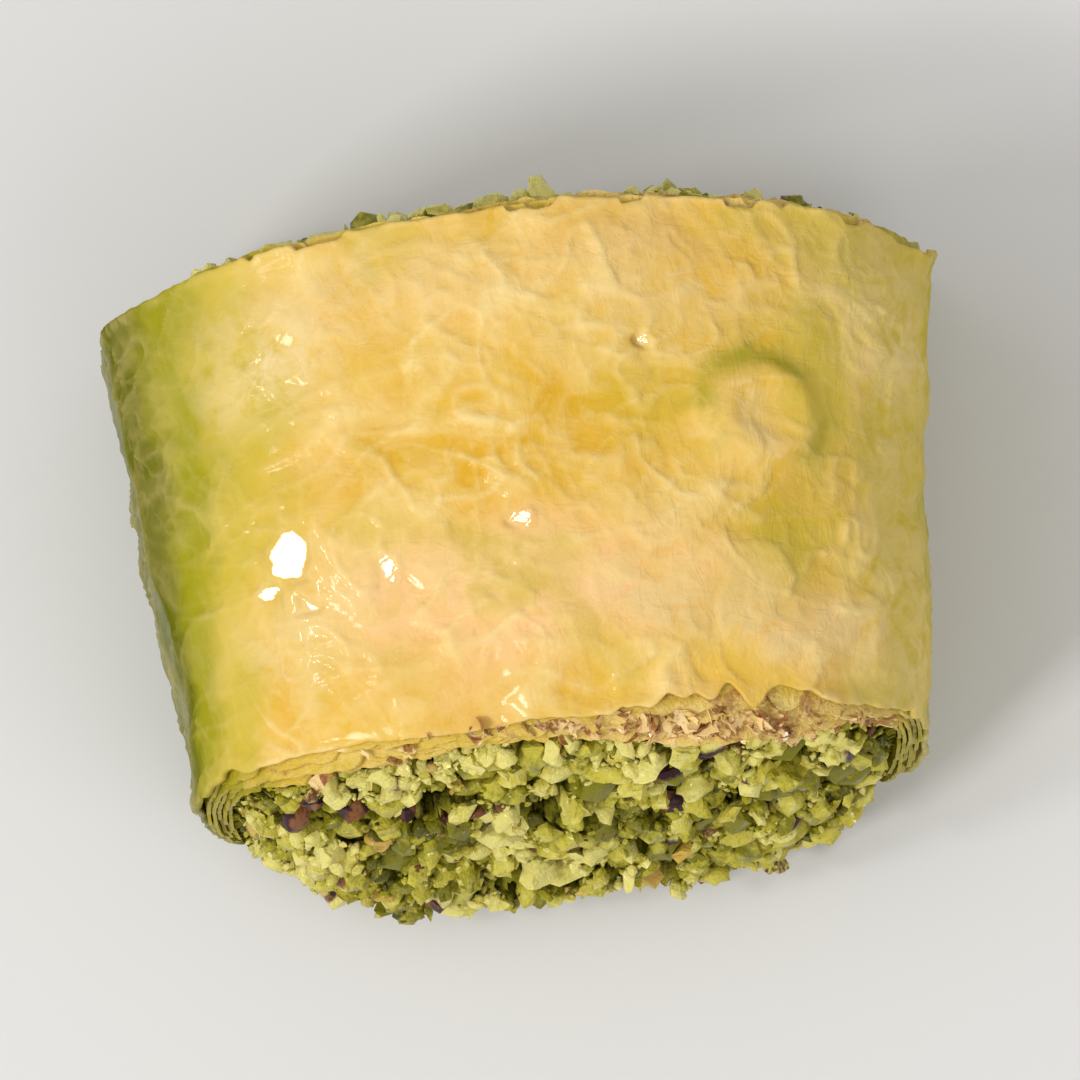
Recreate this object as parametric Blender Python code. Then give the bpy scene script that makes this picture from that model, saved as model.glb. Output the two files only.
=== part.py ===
"""One baklava roll: ground pistachio paste wrapped in thin filo, cut square at both ends.

The roll lies along Y on its flat base, with +Z up. The end that shows most of its
filling faces -Y. All sizes are in metres.
"""

import math
import random

import bmesh
import bpy
from mathutils import Euler, Vector, noise

MM = 0.001

# The roll, measured over its filo. It was pressed narrower towards the front.
BACK_WIDTH = 35.8 * MM
FRONT_WIDTH = 31.4 * MM
HEIGHT = 23.5 * MM
LENGTH = 23.0 * MM
CROWN_POWER = 2.5  # 2 is an ellipse, more is squarer
BASE_POWER = 3.9
BASE_CUT = 0.8 * MM  # how much of the round underside the roll's weight has flattened
BASE_ARCH = 0.1 * MM  # how far the middle of the base stands clear of its four corners
BASE_REACH = 0.7  # share of the half width that those corners are out from the middle
FRONT_LEAN = 2.1 * MM  # how far the crown sits back over the base
BACK_LEAN = 1.1 * MM
CROWN_SHIFT = 0.9 * MM  # how far the crown sits to the right of the base
TUCK = 2.4 * MM  # how far the back cut draws in at the roll's widest
TUCK_RISE = 6.0 * MM  # the height from which it draws in by all of that
FRONT_DIP = 0.9 * MM  # how far the knife has pressed the crown down at the front cut
BACK_DIP = 0.5 * MM
DIP_REACH = 0.16  # share of the length over which that dip fades

# The filo, a few thin leaves baked together, which part a little at the cuts.
LEAVES = 3
LEAF = 0.3 * MM
PARTING = 0.12 * MM
FILO_THICKNESS = LEAVES * LEAF + (LEAVES - 1) * PARTING
GROOVE = 0.5 * MM  # depth of the parting between two leaves
LEAF_WANDER = 0.5 * MM  # how unevenly the leaves end
LEAF_LIP = 0.3 * MM  # how far each leaf reaches past the one outside it
FLAP_TURN = 0.41  # where the inner leaves show past the first in front, right of the crown
FLAP_WIDTH = 0.06
FLAP_REACH = 1.2 * MM
FLAT_TURN = 0.13  # how far round from its middle the flat underside reaches, where the cut is straight
FLAT_FADE = 0.05

# Relief of the filo.
SWELL = 0.5 * MM
SWELL_SIZE = 8.0 * MM
CRINKLE = 0.2 * MM
CRINKLE_SIZE = 2.8 * MM
RELIEF_START = 0.6 * MM  # the relief grows from nothing at the base, over this height
RELIEF_FULL = 4.0 * MM
BLISTER_AT = (9.4 * MM, 1.6 * MM)
BLISTER_RADIUS = 1.8 * MM
BLISTER_RIM = 0.8 * MM
BLISTER_HEIGHT = 0.45 * MM
LAP_TURN = 0.165  # where the outer leaf's free edge lies, as a share of the way round
LAP_FADE = 0.07  # share of the way round over which the leaf above it settles
LAP_STEP = 0.4 * MM

# The filling.
CLEARANCE = 0.3 * MM
FILLING_DEPTH = FILO_THICKNESS + CLEARANCE
FRONT_BULGE = 3.9 * MM
BACK_BULGE = 1.4 * MM
BULGE_POWER = 7.0  # more is a fuller bulge with a steeper rim
RIGHT_BULGE = 0.85  # share of the bulge that is left at the right side
TOP_BULGE = 0.28  # share of the bulge that is left under the crown
COLLAR = 1.3 * MM  # how far the low filling comes straight out before it sags
FOOT_DROP = 1.3 * MM  # how far it sags in front
FOOT_HEIGHT = 8.0 * MM
FOOT_START = 0.02  # shares of the way from the face's rim to its middle
FOOT_FULL = 0.12
CRAGS = ((0.55 * MM, 2.6 * MM), (0.3 * MM, 1.3 * MM))  # heights and sizes of the crags

# The nut pieces that stand out of the filling.
NUT_LONG = 3.0 * MM
NUT_SHORT = 1.4 * MM
FRONT_NUTS = 108
BACK_NUTS = 68
NUT_SINK = 0.16  # share of its length that a piece's middle lies under the face
NUT_SPACING = 0.66  # least distance between two pieces, in mean lengths

OUTER_LOOPS = 18
HIDDEN_ALONG = (0.1, 0.5, 0.9)  # where the hidden faces between the two nodes have loops
RIM_SHARES = (0.0, 0.04, 0.1, 0.17)  # the filling's loops beside the rim of its face
FACE_COLUMNS = 22
FACE_ROWS = 14
ROUND_POINTS = 2 * (FACE_COLUMNS + FACE_ROWS)
OUTLINE_SAMPLES = 1440


def smooth(value):
    """0 below 0, 1 above 1, and an even curve between."""
    value = min(1.0, max(0.0, value))
    return value * value * (3 - 2 * value)


def blend(a, b, share):
    return a + (b - a) * share


def stretched(value, power):
    """A cosine or sine, pulled outward so that its ellipse grows square shoulders."""
    return math.copysign(abs(value) ** (2 / power), value)


def outline(along, depth):
    """Points (x, z), evenly spaced, round the roll at a depth below its surface.

    They start at the middle of the base and run by the right side to the crown.
    """
    height = height_at(along)
    half_width = width_at(along) / 2 - depth
    half_height = (height + BASE_CUT) / 2 - depth
    middle = (height - BASE_CUT) / 2
    fine = []
    for step in range(OUTLINE_SAMPLES + 1):
        angle = 2 * math.pi * step / OUTLINE_SAMPLES - math.pi / 2
        power = blend(BASE_POWER, CROWN_POWER, smooth(0.5 + math.sin(angle)))
        x = half_width * stretched(math.cos(angle), power)
        z = middle + half_height * stretched(math.sin(angle), power)
        fine.append((x, max(z, depth)))
    return evenly(fine, ROUND_POINTS)


def evenly(path, count):
    """That many points along a closed path, the same distance apart."""
    lengths = [0.0]
    for (x0, z0), (x1, z1) in zip(path, path[1:]):
        lengths.append(lengths[-1] + math.hypot(x1 - x0, z1 - z0))
    points = []
    at = 0
    for number in range(count):
        wanted = lengths[-1] * number / count
        while lengths[at + 1] < wanted:
            at += 1
        share = (wanted - lengths[at]) / max(lengths[at + 1] - lengths[at], 1e-12)
        (x0, z0), (x1, z1) = path[at], path[at + 1]
        points.append((blend(x0, x1, share), blend(z0, z1, share)))
    return points


def width_at(along):
    """The width, from the front cut at 0 to the back cut at 1."""
    return blend(FRONT_WIDTH, BACK_WIDTH, along)


def height_at(along):
    """The crown's height, which falls a little at both cuts."""
    front = FRONT_DIP * (1 - smooth(along / DIP_REACH))
    back = BACK_DIP * (1 - smooth((1 - along) / DIP_REACH))
    return HEIGHT - front - back


def floor_gap(x, along):
    """How far the base stands clear of the floor: not at all at its four corners."""
    across = min(1.0, abs(2 * x / width_at(along)) / BASE_REACH)
    return BASE_ARCH * (1 - (across * (2 * along - 1)) ** 2)


def leaned(x, y, z):
    """The point as the roll leans: its crown back and to the right, its back cut drawn in at the sides."""
    rise = z / HEIGHT
    back = smooth(y / LENGTH + 0.5)
    lean = blend(FRONT_LEAN, BACK_LEAN, back)
    tuck = TUCK * back * smooth(z / TUCK_RISE) * (2 * x / BACK_WIDTH) ** 2
    return Vector((x + CROWN_SHIFT * rise, y + lean * (rise - 0.5) - tuck, z))


def leaf_end(turn, end, leaf):
    """How far a leaf's cut edge stands out from the end of the roll, at a place round it."""
    angle = 2 * math.pi * turn
    place = Vector((math.cos(angle), math.sin(angle), 3.7 * end + 1.3 * leaf))
    lip = LEAF_LIP * leaf * (0.6 + 0.4 * math.sin(2 * angle + end))
    flap = 0.0
    if leaf and not end:
        flap = FLAP_REACH * math.exp(-(((turn - FLAP_TURN) / FLAP_WIDTH) ** 2))
    free = smooth((min(turn, 1 - turn) - FLAT_TURN) / FLAT_FADE)
    return free * LEAF_WANDER * noise.noise(2.3 * place) + lip + flap


def blister(x, y):
    """A ring-shaped bubble in the crown: a raised rim round a sunken middle."""
    reach = math.hypot(x - BLISTER_AT[0], y - BLISTER_AT[1])
    return BLISTER_HEIGHT * math.exp(-(((reach - BLISTER_RADIUS) / BLISTER_RIM) ** 2))


def relief(x, y, z, turn):
    """How far the filo stands out from its plain form."""
    place = Vector((x, y, z))
    swell = SWELL * noise.noise(place / SWELL_SIZE + Vector((4.2, 0.7, 1.9)))
    crinkle = CRINKLE * noise.noise(place / CRINKLE_SIZE)
    top = blister(x, y) if z > HEIGHT / 2 else 0.0
    lap = LAP_STEP * smooth(1 - (turn - LAP_TURN) / LAP_FADE) if turn > LAP_TURN else 0.0
    grown = smooth((z - RELIEF_START) / (RELIEF_FULL - RELIEF_START))
    return grown * (swell + crinkle + top) + lap * smooth(z / RELIEF_FULL)


def filo_loop(along, depth, stand_out):
    """One loop round the filo. stand_out gives how far each point lies beyond the cut."""
    loop = []
    middle = height_at(along) / 2
    for number, (x, z) in enumerate(outline(along, depth)):
        turn = number / ROUND_POINTS
        y = LENGTH * (along - 0.5) + stand_out(turn)
        out = (1 - depth / FILO_THICKNESS) * relief(x, y, z, turn)
        reach = max(math.hypot(x, z - middle), 1e-9)
        rise = out * (z - middle) / reach
        loop.append(leaned(x + out * x / reach, y, max(z + rise, depth + floor_gap(x, along))))
    return loop


def cut_loops(end):
    """Loops over one cut edge, from the outer leaf to the inner. end is 0 in front, 1 behind."""
    outward = 2 * end - 1
    loops = []
    for leaf in range(LEAVES):
        top = leaf * (LEAF + PARTING)

        def tip(turn, leaf=leaf):
            return outward * leaf_end(turn, end, leaf)

        def root(turn, leaf=leaf):
            return outward * (leaf_end(turn, end, leaf - 1) - GROOVE)

        if leaf:
            loops.append(filo_loop(end, top - PARTING / 2, root))
            loops.append(filo_loop(end, top, tip))
        loops.append(filo_loop(end, top + LEAF, tip))
    return loops


def filo_loops():
    """The loops of the filo's wall: over the roll, round one cut, back inside, round the other."""
    outer = []
    for number in range(OUTER_LOOPS):
        along = number / (OUTER_LOOPS - 1)

        def stand_out(turn, along=along):
            return blend(-leaf_end(turn, 0, 0), leaf_end(turn, 1, 0), along)

        outer.append(filo_loop(along, 0.0, stand_out))
    inner = [filo_loop(along, FILO_THICKNESS, lambda turn: 0.0) for along in HIDDEN_ALONG]
    return outer + cut_loops(1) + inner[::-1] + cut_loops(0)[::-1]


def inward_share(x, z, end):
    """How far a point of the filling's face is from its rim: 0 at the rim, 1 at the middle."""
    height = height_at(end)
    half_width = width_at(end) / 2 - FILLING_DEPTH
    half_height = height / 2 - FILLING_DEPTH
    power = BASE_POWER if z < height / 2 else CROWN_POWER
    across = abs(x / half_width) ** power
    up = abs((z - height / 2) / half_height) ** power
    return max(0.0, 1 - (across + up) ** (1 / power))


def face_point(x, z, end):
    """The point of the filling's exposed end that lies over (x, z) of the section."""
    outward = 2 * end - 1
    bulge = BACK_BULGE if end else FRONT_BULGE
    share = inward_share(x, z, end)
    low = 1 - smooth(z / FOOT_HEIGHT)
    side = blend(1.0, RIGHT_BULGE, smooth(x / (FRONT_WIDTH / 2)))
    slump = blend(1.0, TOP_BULGE, smooth((z / HEIGHT - 0.1) / 0.85))
    dome = 1 - (1 - share) ** BULGE_POWER
    crags = 0.0
    for height, size in CRAGS:
        crags += height * noise.noise(Vector((x, z, 40 * MM * (end + 1))) / size)
    stand_out = COLLAR * low + bulge * side * slump * dome + crags * smooth(5 * share)
    sag = FOOT_DROP * bulge / FRONT_BULGE * low
    sag *= smooth((share - FOOT_START) / (FOOT_FULL - FOOT_START)) * (1 - share)
    return leaned(x, LENGTH * (end - 0.5) + outward * stand_out, z - sag)


def towards_middle(rim, share):
    """The rim's points, moved that share of the way to its middle."""
    middle = sum(z for _, z in rim) / len(rim)
    return [(x * (1 - share), blend(z, middle, share)) for x, z in rim]


def across_face(ring):
    """An even grid of points (x, z) that fills a ring. Its outer points are the ring's."""
    right, left = FACE_COLUMNS // 2, ROUND_POINTS - FACE_COLUMNS // 2
    base = [ring[(left + step) % ROUND_POINTS] for step in range(FACE_COLUMNS + 1)]
    crown = [ring[left - FACE_ROWS - step] for step in range(FACE_COLUMNS + 1)]
    right_side = [ring[right + step] for step in range(FACE_ROWS + 1)]
    left_side = [ring[left - step] for step in range(FACE_ROWS + 1)]
    rows = []
    for row in range(FACE_ROWS + 1):
        up = row / FACE_ROWS
        points = []
        for column in range(FACE_COLUMNS + 1):
            over = column / FACE_COLUMNS
            point = []
            for axis in range(2):
                rows_part = blend(base[column][axis], crown[column][axis], up)
                columns_part = blend(left_side[row][axis], right_side[row][axis], over)
                low = blend(base[0][axis], base[-1][axis], over)
                high = blend(crown[0][axis], crown[-1][axis], over)
                point.append(rows_part + columns_part - blend(low, high, up))
            points.append(tuple(point))
        rows.append(points)
    return rows


def cap(mesh, ring, points, end):
    """Fills a ring of vertices with the filling's face, over that ring's (x, z) points."""
    right, left = FACE_COLUMNS // 2, ROUND_POINTS - FACE_COLUMNS // 2
    rows = across_face(points)
    last_row, last_column = FACE_ROWS, FACE_COLUMNS
    grid = []
    for row, places in enumerate(rows):
        line = []
        for column, (x, z) in enumerate(places):
            if row == 0:
                line.append(ring[(left + column) % ROUND_POINTS])
            elif row == last_row:
                line.append(ring[left - FACE_ROWS - column])
            elif column == 0:
                line.append(ring[left - row])
            elif column == last_column:
                line.append(ring[right + row])
            else:
                line.append(mesh.verts.new(face_point(x, z, end)))
        grid.append(line)
    for low, high in zip(grid, grid[1:]):
        for column in range(FACE_COLUMNS):
            mesh.faces.new((low[column], low[column + 1], high[column + 1], high[column]))


def rows_of(mesh, loops):
    """The loops as vertices, with faces between each loop and the next."""
    rows = [[mesh.verts.new(point) for point in loop] for loop in loops]
    for near, far in zip(rows, rows[1:]):
        strip(mesh, near, far)
    return rows


def strip(mesh, near, far):
    """A closed strip of faces between two loops of vertices."""
    for number in range(len(near)):
        after = (number + 1) % len(near)
        mesh.faces.new((near[number], near[after], far[after], far[number]))


def finished(name, mesh):
    """The mesh as an object in the scene, its faces pointing out."""
    bmesh.ops.recalc_face_normals(mesh, faces=mesh.faces)
    data = bpy.data.meshes.new(name)
    mesh.to_mesh(data)
    mesh.free()
    thing = bpy.data.objects.new(name, data)
    bpy.context.scene.collection.objects.link(thing)
    return thing


def filling_core():
    """The paste: from its front face, through the roll, to its back face."""
    loops = []
    for end in (0, 1):
        rim = outline(end, FILLING_DEPTH)
        shares = RIM_SHARES if end else RIM_SHARES[::-1]
        beside = [[face_point(x, z, end) for x, z in towards_middle(rim, s)] for s in shares]
        loops += beside
        if not end:
            for along in HIDDEN_ALONG:
                hidden = outline(along, FILLING_DEPTH)
                loops.append([leaned(x, LENGTH * (along - 0.5), z) for x, z in hidden])
    mesh = bmesh.new()
    rows = rows_of(mesh, loops)
    for end, row in ((0, rows[0]), (1, rows[-1])):
        rim = outline(end, FILLING_DEPTH)
        cap(mesh, row, towards_middle(rim, RIM_SHARES[-1]), end)
    return finished("pistachio_filling", mesh)


def nut_places(end, count, dice):
    """Where the nut pieces stand on one end: (place, length), the largest first, spread evenly."""
    half_width = width_at(end) / 2
    places = []
    tries = 0
    while len(places) < count and tries < 200 * count:
        tries += 1
        length = blend(NUT_LONG, NUT_SHORT, (len(places) / count) ** 0.45)
        x, z = dice.uniform(-half_width, half_width), dice.uniform(0.0, HEIGHT)
        if inward_share(x, z, end) < (length / 2 + CLEARANCE) / (HEIGHT / 2 - FILLING_DEPTH):
            continue
        place = face_point(x, z, end)
        if all((p - place).length > NUT_SPACING * (length + other) / 2 for p, other in places):
            places.append((place, length))
    return places


def nut_piece(number, place, length, end, dice):
    """A chipped piece of nut, its middle a little under the face of the filling."""
    inward = Vector((0, 1 - 2 * end, 0))
    mesh = bmesh.new()
    bmesh.ops.create_icosphere(mesh, subdivisions=1, radius=length / 2)
    stretch = Vector((1.0, dice.uniform(0.6, 0.85), dice.uniform(0.55, 0.8)))
    bmesh.ops.scale(mesh, vec=stretch, verts=mesh.verts)
    for vert in mesh.verts:
        vert.co *= dice.uniform(0.84, 1.12)
    turn = Euler([dice.uniform(0, 2 * math.pi) for _ in range(3)]).to_matrix()
    bmesh.ops.rotate(mesh, matrix=turn, verts=mesh.verts)
    bmesh.ops.translate(mesh, vec=place + inward * length * NUT_SINK, verts=mesh.verts)
    return finished(f"nut_{number}", mesh)


def fuse(core, pieces):
    """Joins the pieces to the core in one solid."""
    group = bpy.data.collections.new("nuts")
    bpy.context.scene.collection.children.link(group)
    for piece in pieces:
        bpy.context.scene.collection.objects.unlink(piece)
        group.objects.link(piece)
    union = core.modifiers.new("nuts", "BOOLEAN")
    union.operation = "UNION"
    union.operand_type = "COLLECTION"
    union.collection = group
    union.solver = "EXACT"
    bpy.context.view_layer.objects.active = core
    bpy.ops.object.modifier_apply(modifier=union.name)
    for piece in pieces:
        bpy.data.objects.remove(piece)
    bpy.data.collections.remove(group)


def material(name, colour, roughness):
    """A baked or nutty surface: its colour as light, not as screen values."""
    made = bpy.data.materials.new(name)
    made.use_nodes = True
    surface = made.node_tree.nodes["Principled BSDF"]
    surface.inputs["Base Color"].default_value = (*colour, 1.0)
    surface.inputs["Roughness"].default_value = roughness
    surface.inputs["Metallic"].default_value = 0.0
    return made


def filo_wrap():
    """The baked filo, a tube of a few leaves open at both cuts."""
    mesh = bmesh.new()
    rows = rows_of(mesh, filo_loops())
    strip(mesh, rows[-1], rows[0])
    wrap = finished("filo_wrap", mesh)
    wrap.data.materials.append(material("baked_filo", (0.80, 0.54, 0.14), 0.28))
    return wrap


def pistachio_filling():
    """The paste with the nut pieces that stand out of its two ends."""
    dice = random.Random(6)
    filling = filling_core()
    pieces = []
    for end, count in ((0, FRONT_NUTS), (1, BACK_NUTS)):
        for place, length in nut_places(end, count, dice):
            pieces.append(nut_piece(len(pieces), place, length, end, dice))
    fuse(filling, pieces)
    filling.data.materials.clear()
    filling.data.materials.append(material("ground_pistachio", (0.30, 0.27, 0.05), 0.6))
    return filling


def stand_on_origin(things):
    """Moves the meshes so that the origin is at the middle of the object's base."""
    points = [vert.co for thing in things for vert in thing.data.vertices]
    low = Vector([min(point[axis] for point in points) for axis in range(3)])
    high = Vector([max(point[axis] for point in points) for axis in range(3)])
    for thing in things:
        for vert in thing.data.vertices:
            vert.co -= Vector(((low.x + high.x) / 2, (low.y + high.y) / 2, low.z))


def main():
    for thing in list(bpy.data.objects):
        bpy.data.objects.remove(thing)
    parts = [filo_wrap(), pistachio_filling()]
    stand_on_origin(parts)
    for part in parts:
        part.data.shade_smooth()
        part.data.set_sharp_from_angle(angle=math.radians(35))


main()
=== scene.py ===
"""The looks of one baklava roll: thin filo leaves, soaked in syrup, round ground pistachio.

The roll lies along Y on its flat base, with +Z up. The end that shows most of its
filling faces -Y. All sizes are in metres.
"""

import math
import random
from contextlib import contextmanager

import bmesh
import bpy
import numpy as np
from mathutils import Euler, Matrix, Quaternion, Vector
from mathutils.noise import cell, noise, noise_vector, seed_set, voronoi


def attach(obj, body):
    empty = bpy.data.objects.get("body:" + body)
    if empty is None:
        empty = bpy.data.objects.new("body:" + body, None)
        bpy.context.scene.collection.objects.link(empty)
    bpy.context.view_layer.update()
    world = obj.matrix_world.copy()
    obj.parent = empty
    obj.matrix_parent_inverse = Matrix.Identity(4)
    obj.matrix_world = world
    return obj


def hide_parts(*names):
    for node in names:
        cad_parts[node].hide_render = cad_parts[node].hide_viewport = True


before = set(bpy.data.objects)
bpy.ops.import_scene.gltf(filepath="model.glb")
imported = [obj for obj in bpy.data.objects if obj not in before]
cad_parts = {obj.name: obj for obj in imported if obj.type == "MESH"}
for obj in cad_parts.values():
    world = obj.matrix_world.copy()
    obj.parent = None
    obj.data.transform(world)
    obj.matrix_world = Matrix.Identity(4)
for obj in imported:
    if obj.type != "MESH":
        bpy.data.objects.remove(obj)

MM = 0.001

# The two solids that the pieces replace, with the name of what each is made of.
FILO = ("filo_wrap", "baked_filo")
FILLING = ("pistachio_filling", "ground_pistachio")

# The roll's form, as its solids have it.
BACK_WIDTH = 35.8 * MM
FRONT_WIDTH = 31.4 * MM
HEIGHT = 23.5 * MM
LENGTH = 23.0 * MM
CROWN_POWER = 2.5  # 2 is an ellipse, more is squarer
BASE_POWER = 3.9
BASE_CUT = 0.8 * MM  # how much of the round underside the roll's weight has flattened
BASE_ARCH = 0.1 * MM  # how far the middle of the base stands clear of its four corners
BASE_REACH = 0.7  # share of the half width that those corners are out from the middle
FRONT_LEAN = 2.1 * MM  # how far the crown sits back over the base
BACK_LEAN = 1.1 * MM
CROWN_SHIFT = 0.9 * MM  # how far the crown sits to the right of the base
TUCK = 2.4 * MM  # how far the back cut draws in at the roll's widest
TUCK_RISE = 6.0 * MM  # the height from which it draws in by all of that
FRONT_DIP = 0.9 * MM  # how far the knife has pressed the crown down at the front cut
BACK_DIP = 0.5 * MM
DIP_REACH = 0.16  # share of the length over which that dip fades
ORIGIN = Vector((0.43, -1.5, 0.0)) * MM  # where the middle of the whole roll's base lies

# The filo leaves' ends, and the relief that the solids have.
FILO_THICKNESS = 1.14 * MM
LEAF_WANDER = 0.5 * MM  # how unevenly the leaves end
LEAF_LIP = 0.6 * MM  # how far the innermost leaf reaches past the outermost
FLAP_TURN = 0.41  # where the inner leaves show past the first in front, right of the crown
FLAP_WIDTH = 0.06
FLAP_REACH = 1.2 * MM
FLAT_TURN = 0.13  # how far round from its middle the flat underside reaches
FLAT_FADE = 0.05
SWELL = 0.5 * MM
SWELL_SIZE = 8.0 * MM
CRINKLE = 0.2 * MM
CRINKLE_SIZE = 2.8 * MM
RELIEF_START = 0.6 * MM  # the relief grows from nothing at the base, over this height
RELIEF_FULL = 4.0 * MM
BLISTER_AT = (9.4 * MM, 1.6 * MM)  # the middle of a round blister
BLISTER_RADIUS = 1.8 * MM
BLISTER_RIM = 0.8 * MM
BLISTER_HEIGHT = 0.45 * MM
BLISTER_FOOT = 2.7 * MM  # how far from its middle it meets the crown, in an olive line
BLISTER_LINE = 0.5 * MM
LAP_TURN = 0.165  # where the outer leaf's free edge lies, as a share of the way round
LAP_FADE = 0.07
LAP_STEP = 0.4 * MM

# The single leaves, finer than the solids' three.
LEAVES = 6
PITCH = FILO_THICKNESS / LEAVES  # from one leaf to the next
LEAF = 0.15 * MM
BASE_TURN = 0.14  # nearer than this to the underside's middle, a leaf's points lie far apart
BASE_POINTS = 60  # points across that
AROUND = 560  # points round a leaf
OUTER_ROWS = 150  # rows of points along the outer leaf
INNER_ROWS = 8  # rows of points along the end of a leaf below it
INNER_REACH = 3.0 * MM  # how far in from the cut the lower leaves lie apart
UNDER_ROWS = 9  # rows of points under the outer leaf, beside each cut
UNDER_REACH = 3.6 * MM
BACK_LIP_SHARE = 0.2  # how much of the front leaves' lips those behind have
FRAYS = ((0.16 * MM, 0.9 * MM), (0.07 * MM, 0.35 * MM))  # heights and sizes of the frayed edge
LOWER_FRAY = 1.6  # how much more the lower leaves fray
CHIP = 0.35 * MM  # how deep a broken chip in a leaf's edge goes
CHIP_SIZE = 1.3 * MM
TORN = 0.6 * MM  # how far back the outer leaf has broken from the front rim, right of the crown
TORN_TURN = 0.425
TORN_WIDTH = 0.06
TEAR_SIZE = 0.8 * MM  # how long the teeth of that torn edge are
DRY_WIDTH = 0.075  # how far round from the flap the leaves' ends are dry
GAP = 0.05 * MM  # how much further apart two leaves may lie at the cut
# Near the cut the leaves are painted pale: partly dry leaf, partly a painted highlight where the edge
# catches light.
TIP_PALE = 0.4 * MM  # how far in from the cut the leaves are dry and pale
CURL = 0.28 * MM  # how far the outer leaf lifts at the cut
CURL_REACH = 0.06

# Fine relief of the outer leaf. Each warp says how far, and on what scale, its outlines wander.
ROUND = 103 * MM  # the way round the roll
BUBBLE_HEIGHT = 0.15 * MM  # small domes where steam has lifted the leaf
BUBBLE_SIZE = 2.6 * MM
BUBBLE_WARP = (0.5 * MM, 1.2 * MM)
BUBBLE_LEAST = 0.12  # the cells whose dome would be smaller than this have none
PUFF_HEIGHT = 0.09 * MM  # wider, flatter places where it has parted from the next leaf
PUFF_SIZE = 3.4 * MM
PUFF_WARP = (1.8 * MM, 2.4 * MM)
CREASES = ((0.12 * MM, 3.1 * MM), (0.07 * MM, 1.7 * MM))  # heights and sizes
WRINKLES = (  # (height, size across, size along, degrees from the way round)
    (0.085 * MM, 1.5 * MM, 6.0 * MM, -14), (0.06 * MM, 1.0 * MM, 4.0 * MM, 18),
    (0.05 * MM, 1.1 * MM, 4.0 * MM, 72),
)
WRINKLE_WARP = (0.9 * MM, 4 * MM)
SLACK_SIZE = 6 * MM  # how far apart the places lie where the leaf was slack
CREST = 0.3 * MM  # sets how wide a crease or wrinkle is at its foot
RIPPLE = 0.025 * MM
RIPPLE_SIZE = 0.7 * MM
PANES = (  # (x, y, half width, half length, rise) of smooth syrupy places, in millimetres
    (-11.0, -2.6, 0.9, 1.1, 0.3), (-12.0, -3.9, 0.35, 0.4, 0.2), (-10.5, -5.2, 0.3, 0.4, 0.15),
    (-7.0, -4.0, 0.5, 0.6, 0.2), (-1.3, -2.6, 0.5, 0.25, 0.08), (4.8, 4.8, 0.45, 0.35, 0.04),
)
PANE_WARPS = ((0.4 * MM, 1.1 * MM), (0.25 * MM, 0.5 * MM))
PANE_DRAWN = 0.94  # how much of the creases syrup hides there
PANE_SLOPES = (0.457, 0.104)  # how steeply they rise to the right and to the back
PANE_FADE = 0.55  # how far beyond its edge a pane fades, as a share of its size

# Soft oval spots of the crown, as (x, y, half width, half length, share) in millimetres: where it is
# baked, deepened by syrup, soaked through and pale. Two of the soaked spots are painted shade.
BAKED = (
    (-3.4, -6.2, 5.0, 3.6, 1.0), (3.0, -5.2, 4.5, 3.0, 0.75), (10.5, -8.0, 3.0, 2.0, 0.6),
    (-9.5, 1.5, 3.0, 1.6, 0.4), (-4.0, 8.5, 7.0, 2.0, 0.45), (6.0, 9.5, 5.0, 2.0, 0.35),
    (-8.0, -6.0, 2.8, 2.8, 0.5),
)
AMBER = (
    (1.5, 3.4, 4.6, 2.2, 0.9), (0.3, -0.4, 4.0, 2.0, 0.8), (-6.0, 1.0, 3.0, 1.4, 0.5),
    (-11.0, -8.8, 4.0, 1.6, 0.5), (-1.0, -9.6, 3.0, 1.2, 0.5),
)
# Of the soaked spots, the last two, on the left of the crown, are painted shade, not soaking.
SOAKED_AND_SHADE = (
    (9.6, -4.6, 3.2, 2.8, 0.75), (12.4, 2.0, 1.8, 4.6, 0.75), (4.6, 2.4, 3.5, 2.6, 0.5),
    (-12.2, -1.5, 2.6, 4.0, 0.6), (-12.0, 6.0, 2.6, 2.2, 0.4), (2.0, -2.2, 2.5, 1.2, 0.3),
    (13.5, 7.2, 3.0, 2.6, 0.4), (9.5, 5.2, 3.5, 2.4, 0.35), (-12.2, 4.0, 2.6, 4.5, 0.35),
    (-10.5, -7.5, 2.4, 2.6, 0.3),
)
CREAM = (
    (10.5, -8.4, 3.4, 1.8, 0.7), (5.5, -6.8, 3.2, 1.8, 0.5), (-11.4, 6.4, 2.8, 2.6, 0.9),
    (-5.0, 8.8, 7.0, 1.8, 0.45), (13.8, 6.5, 2.4, 3.0, 0.5), (7.5, 8.0, 3.0, 1.6, 0.3),
    (-11.6, -6.4, 1.8, 2.6, 0.5), (9.0, -0.4, 0.9, 1.4, 0.6), (5.2, 6.5, 3.0, 2.0, 0.35),
    (9.2, 1.6, 1.2, 1.2, 0.45), (3.0, -5.6, 2.6, 1.6, 0.35), (13.8, -5.5, 1.6, 4.6, 0.3),
    (-8.5, -5.0, 2.2, 3.0, 0.25),
)
CREAM_FLANK = 0.35  # how pale the whole right flank is
WET = (  # where syrup stands thick on the crown
    (-11.0, -4.4, 1.8, 2.2, 0.7), (-6.8, -4.4, 1.4, 1.2, 0.4), (12.5, -11.5, 2.5, 1.2, 0.8),
)
WET_LEAST = 0.12
WET_POOL = 0.25  # how much thicker it stands in pools
POOL_SIZE = 3.2 * MM
WET_LOW = 0.45  # how thick it has run together low on the flanks
WET_LOW_BELOW = 14 * MM
WET_LOW_FADE = 3 * MM
SPOT_WARP = (1.6 * MM, 3.2 * MM)
STREAK_WARP = (1.5 * MM, 3 * MM)
STREAK_SIZE = 4.5 * MM
SOAKED_WARP = (2.0 * MM, 5 * MM)
RING_WARP = (0.5 * MM, 1.6 * MM)
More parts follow.
